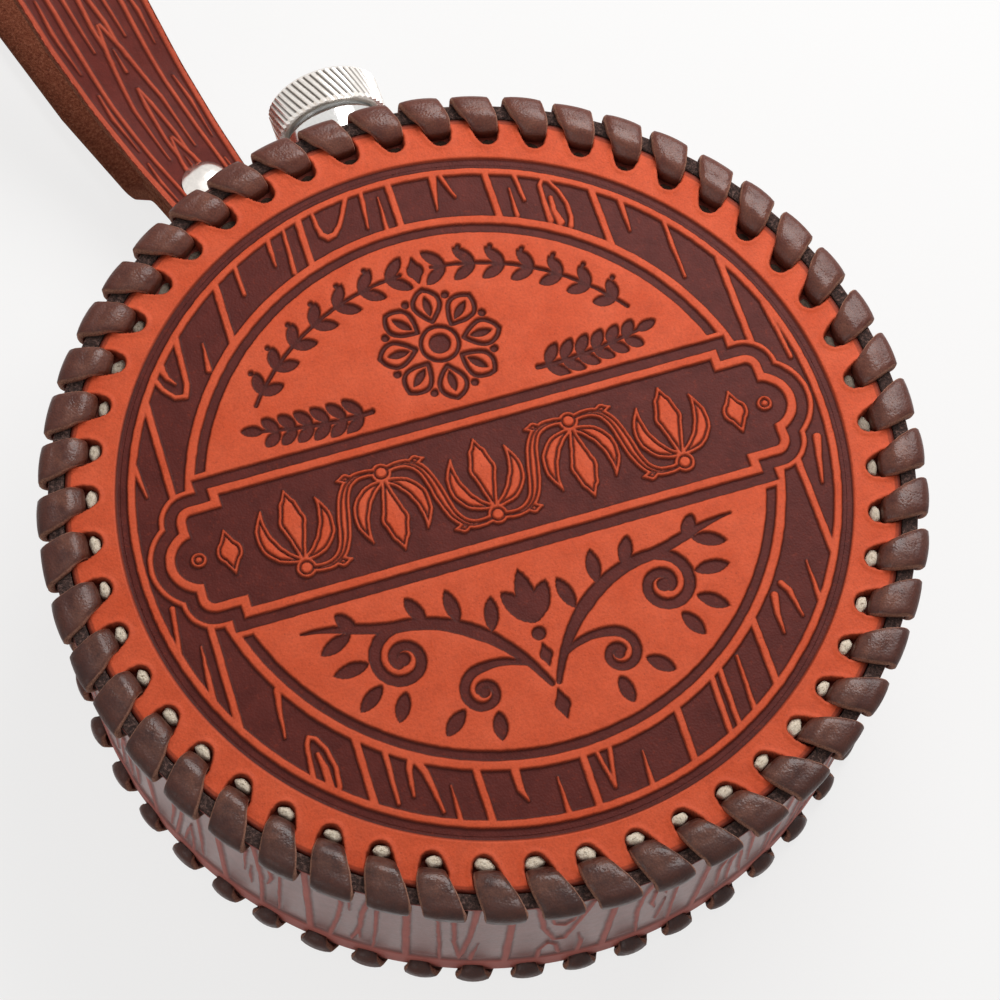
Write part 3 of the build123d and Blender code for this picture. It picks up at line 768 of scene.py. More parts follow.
def lacing(name, seed, end_half, taper_from, width=1.0, crown=0.0, pressed=False):
    """Fifty whip stitches, each a crowned leather band folded over the rim."""
    rng = np.random.default_rng(seed)
    section = lace_section()
    verts = []
    faces = []
    cuts = []
    painted_side_light_and_tone = []
    along = []
    base = 0
    m = len(section)
    for k in range(STITCHES):
        cross = FIRST_STITCH + PITCH * k
        shift = hand_shift(cross - HOLE_LAG)
        lift = rng.uniform(-0.05, 0.2)
        wide = width * rng.uniform(0.95, 1.05)
        skew = rng.normal() * 0.2
        puff = rng.uniform(0.25, 0.5) + crown
        start = lace_up + shift
        path = rounded_path(
            [(start, 40.4), (start + 0.05, 43.6), (start + 1.6, DEPTH + 0.72 + lift),
             (lace_fold, DEPTH + 0.55), (lace_fold - 0.15, lace_slot), (WALL_IN + 1.0, lace_slot - 0.1)],
            [1.0, 1.6, 0.95, 0.7], 0.42)
        normal = normals_of(path)
        n = len(path)
        progress = np.linspace(0, 1, n)
        reach = path[:, 0] - shift * (1 - smooth(0.2, 0.6, progress))
        middle = np.interp(reach, reach_places, middle_places) + skew * np.sin(progress * pi)
        half = np.interp(reach, reach_places, half_places) * wide
        outer = smooth(taper_from, 0.98, progress)
        half = half * (1 - outer) + end_half * outer
        middle = middle * (1 - outer) + 0.45 * outer
        thick = (LACE - crown) * (0.84 + 0.08 * np.sin(progress * pi))
        ripple = 0.05 * np.sin(progress * 34 + k * 2) * np.sin(progress * pi)
        ca, sa = cos(radians(cross)), sin(radians(cross))
        # painted light and shade: stitches on the far side from the camera, towards the key lamp, are
        # lighter; a small random part differs from stitch to stitch
        shade = 0.5 + 0.42 * cos(radians(cross - VIEW_ANGLE)) + 0.16 * ((k * 0.618) % 1 - 0.5)
        for i in range(n):
            outs = section[:, 1] * thick[i]
            top = section[:, 1] > 0.4
            outs = outs + np.where(top, puff * (1 - section[:, 0] ** 2) ** 0.7 + ripple[i], 0)
            lx = path[i, 0] + normal[i, 0] * outs
            lz = path[i, 1] + normal[i, 1] * outs
            if pressed:
                lz = np.minimum(lz, DEPTH + LACE)
            ly = middle[i] + section[:, 0] * half[i]
            verts.append(np.stack([lx * ca - ly * sa, lx * sa + ly * ca, lz], -1))
            cuts.append(section[:, 2])
            painted_side_light_and_tone.append(np.full(m, shade))
            along.append(np.full(m, progress[i]))
        faces.append(grid_faces(n, m, wrap_cols=True) + base)
        base += n * m
    attributes = {"cut": np.concatenate(cuts), "painted_side_light_and_tone": np.concatenate(painted_side_light_and_tone), "along": np.concatenate(along)}
    return new_object(name, np.concatenate(verts), np.concatenate(faces), attributes)


front_lace = lacing("front_lace", seed=11, end_half=3.3, taper_from=0.7)
back_lace = lacing("back_lace", seed=12, end_half=1.6, taper_from=0.66, width=0.86, crown=0.4, pressed=True)
flip_over(back_lace)


# where the cord's ends stand, behind their stitches in degrees and out from the axis, and their size
cord_lag = 2.5
cord_place = 65.85
cord_top = 43.55
cord_sunk = 1.4
cord_half_width = 1.55
cord_half_depth = 0.95
cord_dome = 0.75


def cord_ends(name, seed):
    """Rounded ends of the filler cord, one standing in each hole."""
    rng = np.random.default_rng(seed)
    verts = []
    faces = []
    lit = []
    rows = 11
    cols = 20
    for k in range(STITCHES):
        cross = FIRST_STITCH + PITCH * k
        hole = radians(cross - cord_lag)
        shift = hand_shift(cross - cord_lag)
        sunk = smooth(-0.3, 0.8, shift / PUNCH_DRIFT)
        lean = rng.normal() * 0.2
        twist = rng.normal() * 0.15
        wide = cord_half_width * rng.uniform(0.9, 1.08)
        deep = cord_half_depth * rng.uniform(0.9, 1.1)
        top = cord_top + rng.uniform(-0.1, 0.1) - cord_sunk * sunk
        for i in range(rows):
            t = min(i / (rows - 3), 1) * pi / 2
            under = max(0, i - (rows - 3)) * 1.2
            for j in range(cols):
                a = 2 * pi * j / cols
                fuzz = 1 + 0.05 * sin(3 * a + k) + 0.06 * sin(5 * a + 2 * k) * sin(t)
                out = deep * sin(t) ** 0.8 * cos(a) * fuzz
                across = wide * sin(t) ** 0.8 * sin(a) * fuzz
                lx = cord_place + shift + out - twist * across
                ly = lean + across + twist * out
                lz = top - cord_dome * (1 - cos(t)) + 0.05 * rng.normal() * (i < rows - 3) - under
                x = lx * cos(hole) - ly * sin(hole)
                y = lx * sin(hole) + ly * cos(hole)
                verts.append((x, y, lz))
                # painted shade: cord ends sunk deeper on the far side, and their sides going down into the
                # hole, are darkened
                lit.append((1 - sunk) * (1 if under == 0 else 0.25))
        faces.append(grid_faces(rows, cols, wrap_cols=True, flip=True) + k * rows * cols)
    return new_object(name, verts, np.concatenate(faces), {"lit": lit})


front_cord = cord_ends("front_cord_ends", 4)
back_cord = cord_ends("back_cord_ends", 5)
flip_over(back_cord)


# Strap, its keeper and the neck washer

# the wire ring's inner bar, and its outer bar that the strap folds round
inner_bar = (76.2, 22.0)
ring_reach = 9
ring_lean = radians(65)
outer_bar = (inner_bar[0] + ring_reach * cos(ring_lean), inner_bar[1] - ring_reach * sin(ring_lean))
wire_radius = 1.1
strap_thick = 2.4
strap_half_width = 11.0
strap_end_half = 7.7
strap_full_from = 125
strap_press = 0.35
strap_settle = 0.02


def strap_route():
    """The strap's middle line as distance from the flask's axis and height, from end to end."""
    fold = wire_radius + 0.3 + strap_thick / 2
    top = outer_bar[1] + fold
    foot = outer_bar[1] - fold
    back = outer_bar[0] - fold
    upper = top - 0.6
    middle = upper - 2.5
    lower = middle - 2.5
    points = [(96.5, middle), (84.9, middle), (outer_bar[0] + 1.6, foot), (back, foot), (back, top),
              (outer_bar[0] + 1.6, top), (83.2, upper), (98.0, upper), (112.0, 18.2), (131.0, 26.5),
              (158.0, 36.0), (186.0, 30.5), (180.0, -0.2), (103.0, -0.2), (94.8, lower), (86.4, lower)]
    radii = [2.4, 1.6, 2.5, 2.5, 2.4, 2.4, 30, 30, 60, 30, 14, 14, 4.8, 4.8]
    return rounded_path(points, radii, 0.32)


def strap_grain(length):
    """Long board lines and nested flames, all opening towards the flask."""
    rng = np.random.default_rng(17)
    strokes = []
    steps = np.arange(0, length + 7, 7.0)
    for s in (-1, 1):
        strokes.append(([(t, s * (6.3 + 0.45 * sin(t / 9 + 2 * s))) for t in steps], 0.45))
        t = 4.0 + 6 * s
        while t < length:
            size = rng.uniform(11, 19)
            w = s * rng.uniform(7.9, 8.5)
            mark = [(t, w), (t + size * 0.6, w + 0.2 * s), (t + size, w - 0.3 * s)]
            strokes.append((mark, [0.12, 0.42, 0.2]))
            t += size + rng.uniform(3, 9)
    t = -9.0
    while t < length:
        size = rng.uniform(27, 36)
        for half, first, last in ((3.5, 0, 1), (1.45, -0.12, 0.52)):
            for side in (-1, 1):
                w0 = side * half
                a = t + size * first
                b = t + size * last
                flame = [(a, w0), (a + (b - a) * 0.4, w0 * 0.95), (a + (b - a) * 0.8, w0 * 0.45),
                         (b, w0 * 0.06)]
                strokes.append((flame, [0.2, 0.42, 0.46, 0.3]))
        strokes.append(([(t + size * 0.66, 0.1), (t + size * 0.82, 0)], [0.36, 0.1]))
        t += size * 0.86
    return strokes


def strip(name, path, half_of, thick, tooled, columns=91):
    """Leather strip along a bent line, its outer face tooled, with rounded cut edges."""
    normal = normals_of(path)
    length = np.concatenate([[0], np.cumsum(np.linalg.norm(np.diff(path, axis=0), axis=1))])
    half = half_of(path[:, 0])
    shares = np.linspace(-1, 1, columns)
    section = [(s, 0.5, 0.0) for s in shares]
    section += [(1.0, 0.3, 1.0), (1.0, 0.0, 1.0), (1.0, -0.3, 1.0)]
    section += [(s, -0.5, 0.85) for s in np.linspace(1, -1, 9)]
    section += [(-1.0, -0.3, 1.0), (-1.0, 0.0, 1.0), (-1.0, 0.3, 1.0)]
    section = np.array(section)
    n, m = len(path), len(section)
    across = section[None, :, 0] * half[:, None]
    corner = (np.abs(section[:, 1]) == 0.5) & (np.abs(section[:, 0]) > 0.99)
    across[:, corner] *= 0.975
    t = np.repeat(length[:, None], m, 1)
    outs = np.repeat(section[None, :, 1] * thick, n, 0)
    outer = np.repeat((section[None, :, 1] == 0.5), n, 0)
    dye = np.ones((n, m)) * 0.4
    edge = np.zeros((n, m))
    if tooled is not None:
        cut = tooled(t[outer], across[outer], np.repeat(half[:, None], m, 1)[outer])
        drop, d, e = recess(cut, soft=0.22)
        outs[outer] -= strap_press * drop + strap_settle
        dye[outer] = d
        edge[outer] = e
    pos = path[:, None, :] + normal[:, None, :] * outs[:, :, None]
    a = radians(TAB_ANGLE)
    x = pos[:, :, 0] * cos(a) - across * sin(a)
    y = pos[:, :, 0] * sin(a) + across * cos(a)
    verts = np.stack([x, y, pos[:, :, 1]], -1).reshape(-1, 3)
    cuts = np.repeat(section[None, :, 2], n, 0)
    faces = grid_faces(n, m, wrap_cols=True)
    caps = []
    for row in (0, n - 1):
        loop = np.arange(m) + row * m
        for k in range(1, m // 2):
            quad = (loop[k], loop[k + 1], loop[(m - k - 1) % m], loop[(m - k) % m])
            caps.append(quad if row == 0 else quad[::-1])
    faces = np.concatenate([faces, np.array(caps)])
    obj = new_object(name, verts, faces, {"dye": dye.ravel(), "edge": edge.ravel(), "cut": cuts.ravel()})
    outward(obj)
    return obj


def strap_half(s):
    """Half width of the strap at a distance from the flask's axis."""
    widening = np.clip((s - outer_bar[0]) / (strap_full_from - outer_bar[0]), 0, 1)
    tapered = strap_end_half + (strap_half_width - strap_end_half) * widening
    return np.where(s < strap_full_from, tapered, strap_half_width)


route = strap_route()
strap_length = float(np.sum(np.linalg.norm(np.diff(route, axis=0), axis=1)))
grain_lines = strap_grain(strap_length)


def strap_tooling(t, w, half):
    """Signed distance to the strap's pressed ground: negative inside it."""
    border = 1.25
    raised = strokes_field(t, w * strap_half_width / half, grain_lines)
    raised = np.minimum(raised, half - border - np.abs(w))
    raised = np.minimum(raised, np.minimum(t - border, strap_length - border - t))
    return -raised


strap = strip("strap_leather", route, strap_half, strap_thick, strap_tooling)

keeper_route = rounded_path([(73.9, 36.5), (73.9, 19.7), (78.5, 19.7), (78.5, 25.45), (75.75, 29.4),
                             (75.75, 36.5)], [2.25] * 4, 0.4)
keeper_thick = 1.8
keeper_half = 7.3
keeper = strip("keeper_leather", keeper_route, lambda s: np.full(len(s), keeper_half), keeper_thick,
               tooled=None, columns=21)


def washer():
    """Saddle-shaped leather washer with a rounded outer edge."""
    turns = 96
    profile = [(8.15, 0.0), (8.15, 0.95), (10.3, 1.0), (10.72, 0.85), (10.8, 0.5), (10.72, 0.12),
               (10.5, 0.0)]
    verts = []
    for rad, up in profile:
        for j in range(turns):
            a = 2 * pi * j / turns
            x = rad * cos(a)
            z = rad * sin(a)
            verts.append((x, sqrt((WALL_R + 0.02 + up) ** 2 - x * x), MID + z))
    faces = grid_faces(len(profile), turns, wrap_cols=True, wrap_rows=True)
    return new_object("washer_leather", verts, faces)


neck_washer = washer()
outward(neck_washer)


# Materials

def srgb(r, g, b):
    """Linear colour of a display colour in steps of 255."""
    def lin(c):
        c /= 255
        return c / 12.92 if c <= 0.04045 else ((c + 0.055) / 1.055) ** 2.4
    return (lin(r), lin(g), lin(b), 1)


class Net:
    """Short way to write a material's node tree."""

    def __init__(self, name):
        self.mat = bpy.data.materials.new(name)
        self.mat.use_nodes = True
        self.tree = self.mat.node_tree
        self.tree.nodes.clear()
        self.out = self.tree.nodes.new("ShaderNodeOutputMaterial")
        self.bsdf = self.tree.nodes.new("ShaderNodeBsdfPrincipled")
        self.tree.links.new(self.bsdf.outputs[0], self.out.inputs[0])
        self.coord = self.tree.nodes.new("ShaderNodeTexCoord").outputs["Object"]

    def put(self, socket, value):
        """Link a socket into a socket, or set its plain value."""
        if isinstance(value, bpy.types.NodeSocket):
            self.tree.links.new(value, socket)
        else:
            socket.default_value = value

    def node(self, kind, out=0, props=None, **inputs):
        """Add a node with its inputs, by name or as i0, i1 by number, and give back one output."""
        n = self.tree.nodes.new("ShaderNode" + kind)
        for k, v in (props or {}).items():
            setattr(n, k, v)
        for k, v in inputs.items():
            key = k.replace("_", " ")
            by_number = k[0] == "i" and k[1:].isdigit()
            self.put(n.inputs[int(k[1:]) if by_number else key], v)
        return n.outputs[out]

    def per(self, size):
        """Texture scale for a size in millimetres, a number or a group's input."""
        if isinstance(size, bpy.types.NodeSocket):
            return self.math("DIVIDE", 1 / MM, size)
        return 1 / (size * MM)

    def noise(self, size, detail=3.0, rough=0.55, stretch=None):
        vec = self.coord
        if stretch:
            vec = self.node("Mapping", Vector=vec, Scale=stretch)
        return self.node("TexNoise", Vector=vec, Scale=self.per(size), Detail=detail, Roughness=rough)

    def cells(self, size, feature="F1", out=0):
        kind = {"feature": feature}
        return self.node("TexVoronoi", out=out, props=kind, Vector=self.coord, Scale=self.per(size))

    def ramp(self, value, *stops):
        """Colour ramp over a value, each stop a place and a grey or a colour."""
        n = self.tree.nodes.new("ShaderNodeValToRGB")
        self.put(n.inputs[0], value)
        e = n.color_ramp.elements
        while len(e) < len(stops):
            e.new(0.5)
        for el, (pos, col) in zip(e, stops):
            el.position = pos
            el.color = col if isinstance(col, tuple) else (col, col, col, 1)
        return n.outputs[0]

    def math(self, op, a, b=0.0, c=0.0):
        return self.node("Math", props={"operation": op}, i0=a, i1=b, i2=c)

    def mix(self, t, a, b, blend="MIX"):
        n = self.tree.nodes.new("ShaderNodeMix")
        n.data_type = "RGBA"
        n.blend_type = blend
        self.put(n.inputs[0], t)
        self.put(n.inputs[6], a)
        self.put(n.inputs[7], b)
        return n.outputs[2]

    def attr(self, name):
        n = self.tree.nodes.new("ShaderNodeAttribute")
        n.attribute_name = name
        return n.outputs["Fac"]

    def bump(self, height, distance, strength=1.0, normal=None):
        n = self.tree.nodes.new("ShaderNodeBump")
        n.inputs["Strength"].default_value = strength
        n.inputs["Distance"].default_value = distance * MM
        self.put(n.inputs["Height"], height)
        if normal is not None:
            self.put(n.inputs["Normal"], normal)
        return n.outputs[0]

    def use(self, effect, **values):
        """Place a shared effect with this material's own values."""
        n = self.tree.nodes.new("ShaderNodeGroup")
        n.node_tree = effect.tree
        for k, v in values.items():
            n.inputs[k.replace("_", " ")].default_value = v
        return n.outputs

    def set(self, **kw):
        """Fill the surface shader's inputs and give back the material."""
        for k, v in kw.items():
            self.put(self.bsdf.inputs[k.replace("_", " ")], v)
        return self.mat


class Effect(Net):
    """A node group: an effect that several materials use."""

    def __init__(self, name, **inputs):
        self.tree = bpy.data.node_groups.new(name, "ShaderNodeTree")
        for k, v in inputs.items():
            key = k.replace("_", " ")
            socket = self.tree.interface.new_socket(key, in_out="INPUT", socket_type="NodeSocketFloat")
            socket.default_value = v
        self.given = self.tree.nodes.new("NodeGroupInput").outputs
        self.result = self.tree.nodes.new("NodeGroupOutput")
        self.coord = self.tree.nodes.new("ShaderNodeTexCoord").outputs["Object"]

    def gives(self, **outputs):
        """Name the group's outputs and link them."""
        for k, v in outputs.items():
            self.tree.interface.new_socket(k, in_out="OUTPUT", socket_type="NodeSocketFloat")
            self.tree.links.new(v, self.result.inputs[k])
        return self


def leather_marks():
    """Masks of worn leather and the height of its grain."""
    n = Effect("leather_marks", Mottle_Size=9, Cloud_Size=2.6, Scuff_Size=0.9, Grain_Size=0.42)
    fine = n.noise(0.55, 3, 0.6)
    grain = n.math("MULTIPLY", n.cells(n.given["Grain Size"]), 0.6)
    height = n.math("ADD", grain, n.math("MULTIPLY", fine, 0.7))
    return n.gives(
        Mottle=n.ramp(n.noise(n.given["Mottle Size"], 4, 0.6), (0.3, 0.0), (0.7, 1.0)),
        Cloud=n.ramp(n.noise(n.given["Cloud Size"], 5, 0.7), (0.42, 0.0), (0.75, 1.0)),
        Pale=n.ramp(n.noise(5.5, 5, 0.7), (0.5, 0.0), (0.8, 1.0)),
        Pores=n.ramp(n.cells(1.1), (0.05, 1.0), (0.16, 0.0)),
        Scuff=n.ramp(n.noise(n.given["Scuff Size"], 5, 0.75), (0.56, 0.0), (0.74, 1.0)),
        Fine=fine, Height=height)


def fibre_grain():
    """Tangled fibres of cut leather, felt and cord."""
    n = Effect("fibre_grain", Fibre_Size=0.3)
    return n.gives(Fibre=n.noise(n.given["Fibre Size"], 4, 0.7))


def metal_wear():
    """Handled metal: where it is duller and where it is stained."""
    n = Effect("metal_wear", Wear_Size=2.5, Stain_Size=0.8)
    return n.gives(Wear=n.noise(n.given["Wear Size"], 5, 0.65),
                   Stain=n.ramp(n.noise(n.given["Stain Size"], 4, 0.6), (0.35, 0.0), (0.8, 0.5)))


marks = leather_marks()
fibres = fibre_grain()
handled = metal_wear()


def tooled_leather(name, light, light2, dark, dark2, rough_light, rough_dark, grain=0.06, raw=None,
                   spec=0.5):
    """Leather whose raised parts are light and whose pressed parts are dyed dark."""
    n = Net(name)
    worn = n.use(marks)
    top = n.mix(worn["Mottle"], light, light2)
    top = n.mix(n.math("MULTIPLY", n.ramp(worn["Fine"], (0.38, 1.0), (0.56, 0.0)), 0.12), top, dark2)
    top = n.mix(n.math("MULTIPLY", worn["Cloud"], 0.16), top, dark)
    paler = tuple(min(1, c * 1.25 + 0.02) for c in light[:3]) + (1,)
    top = n.mix(n.math("MULTIPLY", worn["Pale"], 0.22), top, paler)
    top = n.mix(n.math("MULTIPLY", worn["Pores"], 0.3), top, dark)
    low = n.mix(n.ramp(n.noise(4, 4, 0.65), (0.3, 0.0), (0.72, 1.0)), dark, dark2)
    low = n.mix(n.math("MULTIPLY", worn["Scuff"], 0.16), low, light2)
    dye = n.attr("dye")
    base = n.mix(dye, top, low)
    # the dark edge colour is partly dye pooled in the cut, partly painted shade on the step
    edge_dye_and_shade = tuple(c * 0.25 for c in dark[:3]) + (1,)
    base = n.mix(n.math("MULTIPLY", n.attr("edge"), 0.62), base, edge_dye_and_shade)
    rough = n.mix(dye, (rough_light,) * 3 + (1,), (rough_dark,) * 3 + (1,))
    rough = n.mix(n.math("MULTIPLY", worn["Fine"], 0.18), rough, (1, 1, 1, 1))
    normal = n.bump(worn["Height"], grain, 0.9)
    normal = n.bump(n.noise(3.0, 3, 0.5), 0.10, 0.6, normal)
    if raw:
        cut = n.attr("cut")
        fibre = n.use(fibres, Fibre_Size=0.55)["Fibre"]
        base = n.mix(cut, base, n.ramp(fibre, (0.32, raw[0]), (0.52, raw[1]), (0.72, raw[2])))
        rough = n.mix(cut, rough, (1, 1, 1, 1))
        normal = n.bump(n.math("MULTIPLY", fibre, cut), 0.6, 1.0, normal)
    return n.set(Base_Color=base, Roughness=rough, Normal=normal, Specular_IOR_Level=spec)


orange = srgb(213, 92, 58)
orange2 = srgb(202, 80, 46)
umber = srgb(92, 37, 31)
umber2 = srgb(74, 26, 21)
dark_raw = (srgb(29, 18, 16), srgb(66, 46, 41), srgb(134, 103, 94))
brown_raw = (srgb(92, 46, 32), srgb(134, 78, 56), srgb(168, 112, 86))

m_face = tooled_leather("tooled_leather_look", orange, orange2, umber, umber2,
                        rough_light=0.52, rough_dark=0.46, spec=0.11)
m_wall = tooled_leather("wall_leather_look", srgb(180, 96, 84), srgb(156, 76, 66),
                        srgb(136, 80, 72), srgb(114, 64, 57), rough_light=0.62, rough_dark=0.28,
                        grain=0.03, raw=dark_raw, spec=0.46)
m_strap = tooled_leather("strap_leather_look", srgb(198, 88, 59), srgb(174, 72, 49),
                         srgb(106, 41, 33), srgb(84, 31, 25), rough_light=0.46, rough_dark=0.42,
                         grain=0.03, raw=brown_raw, spec=0.12)


def lace_material():
    """Pebbled dark lace: painted side light, end shade and crest highlight, random colour and wear, raw cut
    edges.
    """
    n = Net("lace_leather_look")
    pebble = n.cells(0.36, "SMOOTH_F1")
    crease = n.noise(2.2, 3, 0.5)
    fine = n.noise(0.25, 3, 0.6)
    # painted light and shade: laces on the flask's far side, towards the key lamp, are lighter; a small
    # random part differs from stitch to stitch
    painted_side_light_and_tone = n.attr("painted_side_light_and_tone")
    a = n.mix(painted_side_light_and_tone, srgb(50, 22, 16), srgb(98, 47, 34))
    worn = n.ramp(n.noise(3.2, 4, 0.7), (0.35, 0.0), (0.75, 1.0))
    a = n.mix(n.math("MULTIPLY", worn, 0.3), a, srgb(126, 76, 58))
    # the crest of the bend is lighter: partly wear, partly a painted highlight
    crest = n.ramp(n.attr("along"), (0.2, 0.0), (0.34, 1.0), (0.46, 1.0), (0.6, 0.0))
    a = n.mix(n.math("MULTIPLY", n.math("MULTIPLY", crest, worn), 0.45), a, srgb(150, 98, 78))
    a = n.mix(n.math("MULTIPLY", n.ramp(fine, (0.45, 1.0), (0.6, 0.0)), 0.35), a, srgb(44, 24, 22))
    cut = n.attr("cut")
    raw = n.ramp(n.noise(0.28, 3, 0.7), (0.3, srgb(104, 66, 54)), (0.65, srgb(196, 146, 122)))
    base = n.mix(n.math("MULTIPLY", cut, 0.8), a, raw)
    # painted shade: the lace darkens where it goes down into its hole and under the rim into its slot
    deep = n.ramp(n.attr("along"), (0.0, 1.0), (0.16, 0.0), (0.84, 0.0), (0.95, 0.75))
    base = n.mix(deep, base, srgb(24, 12, 11))
    rough = n.math("SUBTRACT", n.ramp(crease, (0.3, 0.3), (0.7, 0.5)), n.math("MULTIPLY", crest, 0.12))
    rough = n.mix(cut, rough, (0.85, 0.85, 0.85, 1))
    normal = n.bump(crease, 0.22, 0.8)
    normal = n.bump(n.math("ADD", pebble, n.math("MULTIPLY", fine, 0.3)), 0.05, 1.0, normal)
    return n.set(Base_Color=base, Roughness=rough, Normal=normal, Specular_IOR_Level=0.28)


def cord_material():
    """Waxed pale cord, with painted shade where it is sunk in its hole."""
    n = Net("cord_look")
    fibre = n.use(fibres)["Fibre"]
    base = n.ramp(fibre, (0.3, srgb(128, 102, 84)), (0.42, srgb(214, 198, 176)), (0.7, srgb(242, 230, 212)))
    base = n.mix(n.attr("lit"), srgb(52, 38, 32), base)
    return n.set(Base_Color=base, Roughness=1.0, Normal=n.bump(fibre, 0.1, 0.8), Specular_IOR_Level=0.05)


def metal_material(name, colour, low, high, brushed=None, depth=0.006, groove=None):
    """Handled metal between two roughnesses, brushed or with painted shade in the knurl's grooves if asked.
    """
    n = Net(name)
    worn = n.use(handled)
    rough = n.ramp(worn["Wear"], (0.3, low), (0.75, high))
    base = n.mix(worn["Stain"], colour, tuple(c * 0.72 for c in colour[:3]) + (1,))
    if groove:
        root, crest, middle, half_length = groove
        split = n.tree.nodes.new("ShaderNodeSeparateXYZ")
        n.put(split.inputs[0], n.coord)
        up = n.math("SUBTRACT", split.outputs[2], MID * MM)
        reach = n.math("SQRT", n.math("ADD", n.math("POWER", split.outputs[0], 2), n.math("POWER", up, 2)))
        land = n.node("MapRange", Value=reach, From_Min=root * MM, From_Max=crest * MM)
        along = n.math("SUBTRACT", split.outputs[1], middle * MM)
        side = n.math("LESS_THAN", n.math("ABSOLUTE", along), half_length * MM)
        side = n.math("MULTIPLY", side, n.math("GREATER_THAN", reach, (root - 0.15) * MM))
        groove_shade = n.math("MULTIPLY", n.math("SUBTRACT", 1.0, land), side)
        # painted shade: the knurl's grooves and the skirt just below them are darkened
        base = n.mix(groove_shade, base, (0.10, 0.085, 0.075, 1))
    height = n.noise(0.25, 3, 0.6, stretch=brushed) if brushed else n.noise(0.35, 3, 0.6)
    return n.set(Base_Color=base, Metallic=1.0, Roughness=rough, Normal=n.bump(height, depth, 0.6))


def plain_material(name, a, b, size, rough, depth):
    """Even material that wavers between two colours."""
    n = Net(name)
    tex = n.use(fibres, Fibre_Size=size)["Fibre"]
    base = n.mix(n.ramp(tex, (0.3, 0.0), (0.7, 1.0)), a, b)
    return n.set(Base_Color=base, Roughness=rough, Normal=n.bump(tex, depth, 0.8))


m_lace = lace_material()
m_cord = cord_material()
# the knurl's root and crest radius, its middle along the neck and half its length
knurl_groove = (10.34, 10.62, 88.95, 2.85)
m_knurl = metal_material("knurled_nickel_look", (0.88, 0.83, 0.78, 1), 0.2, 0.34, groove=knurl_groove)
m_polish = metal_material("polished_look", (0.78, 0.77, 0.75, 1), 0.08, 0.18)
m_brushed = metal_material("bottle_look", (0.66, 0.66, 0.65, 1), 0.25, 0.4, brushed=(1, 1, 0.04))
m_rivet = metal_material("rivet_look", (0.86, 0.81, 0.76, 1), 0.16, 0.3)
m_felt = plain_material("felt_look", srgb(150, 140, 126), srgb(120, 110, 98), 0.5, 0.95, 0.2)
m_seal = plain_material("seal_look", srgb(214, 210, 200), srgb(200, 194, 184), 3, 0.55, 0.01)
m_core = plain_material("core_look", srgb(225, 222, 212), srgb(212, 208, 198), 4, 0.45, 0.01)
m_washer = plain_material("washer_look", srgb(98, 52, 42), srgb(70, 36, 30), 0.6, 0.7, 0.06)


def dress(obj, material):
    """Give a piece one material."""
    obj.data.materials.clear()
    obj.data.materials.append(material)


def place(obj, material, body, slot, *replaced):
    """Dress a piece, tie it to its body, and put it in the place of CAD nodes; its slot is not used."""
    dress(obj, material)
    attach(obj, body)
    if replaced:
        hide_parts(*replaced)


for part in face_parts:
    place(part, m_face, "flask", "tooled_leather", "front_disc")
place(front_rim, m_face, "flask", "tooled_leather", "front_disc")
place(back_rim, m_face, "flask", "tooled_leather", "back_disc")
place(back_field, m_face, "flask", "tooled_leather", "back_disc")
for part in wall_parts:
    place(part, m_wall, "flask", "dark_leather", "side_wall")
place(front_lace, m_lace, "flask", "lace_leather", "front_lacing")
place(back_lace, m_lace, "flask", "lace_leather", "back_lacing")
place(front_cord, m_cord, "flask", "cord", "front_filler_cord")
place(back_cord, m_cord, "flask", "cord", "back_filler_cord")
place(strap, m_strap, "strap", "strap_leather", "strap")
place(keeper, m_washer, "flask", "dark_leather", "strap_tab")
place(neck_washer, m_washer, "flask", "washer_leather", "neck_washer")

looks = {
    "bottle_front_shell": m_brushed, "bottle_back_shell": m_brushed, "bottle_neck": m_brushed,
    "neck_collar": m_polish, "cap_shell": m_knurl, "cap_core": m_core, "cap_seal": m_seal,
    "front_lining": m_felt, "back_lining": m_felt, "tab_rivets": m_rivet, "strap_ring": m_polish,
    "strap_rivet": m_rivet,
}
for key, material in looks.items():
    dress(nodes[key], material)


# Floor, light and camera

BACKDROP = (0.95, 0.945, 0.94, 1)


def seen_rays(tree):
    """1 for the rays that show the background: the camera's own, mirrored and refracted ones."""
    rays = tree.nodes.new("ShaderNodeLightPath")
    seen = rays.outputs["Is Camera Ray"]
    for kind in ("Is Glossy Ray", "Is Transmission Ray"):
        either = tree.nodes.new("ShaderNodeMath")
        either.operation = "MAXIMUM"
        tree.links.new(seen, either.inputs[0])
        tree.links.new(rays.outputs[kind], either.inputs[1])
        seen = either.outputs[0]
    return seen


def floor():
    """Pale floor under the flask that keeps its shadow and otherwise shows the backdrop's colour."""
    size = 3000
    backdrop_share = 0.82
    low = -LACE - 0.02
    corners = [(-size, -size, low), (size, -size, low), (size, size, low), (-size, size, low)]
    obj = new_object("floor", corners, [(0, 1, 2, 3)])
    n = Net("floor_look")
    n.set(Base_Color=(0.86, 0.855, 0.85, 1), Roughness=0.6, Specular_IOR_Level=0.2)
    white = n.tree.nodes.new("ShaderNodeEmission")
    white.inputs[0].default_value = BACKDROP
    blend = n.tree.nodes.new("ShaderNodeMixShader")
    n.put(blend.inputs[0], n.math("MULTIPLY", seen_rays(n.tree), backdrop_share))
    n.put(blend.inputs[1], n.bsdf.outputs[0])
    n.put(blend.inputs[2], white.outputs[0])
    n.put(n.out.inputs[0], blend.outputs[0])
    dress(obj, n.mat)


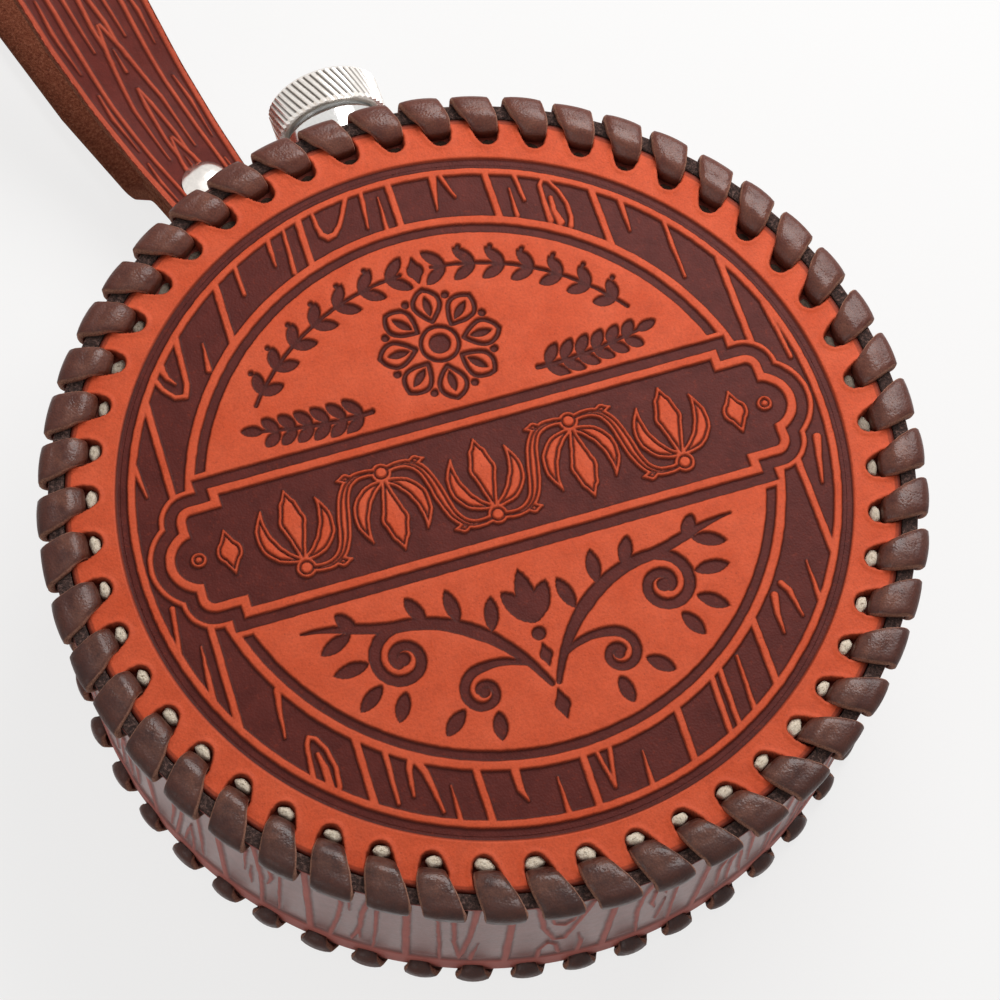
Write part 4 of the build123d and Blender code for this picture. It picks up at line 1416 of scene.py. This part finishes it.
def area(name, place_mm, target_mm, size, power, colour=(1, 1, 1)):
    """Rectangular lamp of a size in millimetres that looks at a target."""
    data = bpy.data.lights.new(name, "AREA")
    data.shape = "RECTANGLE"
    data.size = size[0] * MM
    data.size_y = size[1] * MM
    data.energy = power
    data.color = colour
    obj = bpy.data.objects.new(name, data)
    bpy.context.scene.collection.objects.link(obj)
    obj.location = Vector(place_mm) * MM
    way = (Vector(target_mm) - Vector(place_mm)).normalized()
    obj.rotation_euler = way.to_track_quat("-Z", "Y").to_euler()
    return obj


def seen_from(angle, up, distance):
    """Place about the flask by azimuth counted from the camera's own side."""
    a = radians(VIEW_ANGLE + 180 + angle)
    level = distance * cos(radians(up))
    return (level * cos(a), level * sin(a), distance * sin(radians(up)))


def studio():
    """Weak even light from all round, and the backdrop's colour where the background is seen."""
    world = bpy.data.worlds.new("studio")
    bpy.context.scene.world = world
    world.use_nodes = True
    tree = world.node_tree
    tree.nodes.clear()
    pick = tree.nodes.new("ShaderNodeMixShader")
    tree.links.new(seen_rays(tree), pick.inputs[0])
    for k, (colour, strength) in enumerate((((1.0, 0.98, 0.96, 1), 0.2), (BACKDROP, 1.0))):
        light = tree.nodes.new("ShaderNodeBackground")
        light.inputs[0].default_value = colour
        light.inputs[1].default_value = strength
        tree.links.new(light.outputs[0], pick.inputs[k + 1])
    result = tree.nodes.new("ShaderNodeOutputWorld")
    tree.links.new(pick.outputs[0], result.inputs[0])


def camera():
    """The camera fitted to the photograph."""
    elevation = radians(67.116)
    roll = radians(5.722)
    distance = 0.42373
    focal_share = 2.52419
    a = radians(VIEW_ANGLE)
    forward = Vector((cos(a) * cos(elevation), sin(a) * cos(elevation), -sin(elevation)))
    level_right = Vector((sin(a), -cos(a), 0))
    level_up = level_right.cross(forward)
    right = level_right * cos(roll) + level_up * sin(roll)
    up = level_up * cos(roll) - level_right * sin(roll)
    data = bpy.data.cameras.new("camera")
    data.sensor_width = 36
    data.lens = focal_share * data.sensor_width
    data.shift_x = 0.0144
    data.shift_y = -0.01886
    data.clip_start = 0.01
    obj = bpy.data.objects.new("camera", data)
    bpy.context.scene.collection.objects.link(obj)
    position = Vector((0, 0, DEPTH * MM)) - forward * distance
    turn = Matrix((right, up, -forward)).transposed()
    obj.matrix_world = Matrix.Translation(position) @ turn.to_4x4()
    bpy.context.scene.camera = obj


floor()
area("key", seen_from(158, 50, 440), (0, 0, 30), (320, 260), 1.8)
area("fill", seen_from(-35, 35, 900), (0, 0, 30), (500, 300), 0.8)
area("top", (0, 0, 1100), (0, 0, 0), (900, 900), 0.9)
studio()
camera()
bpy.context.scene.view_settings.view_transform = "Standard"
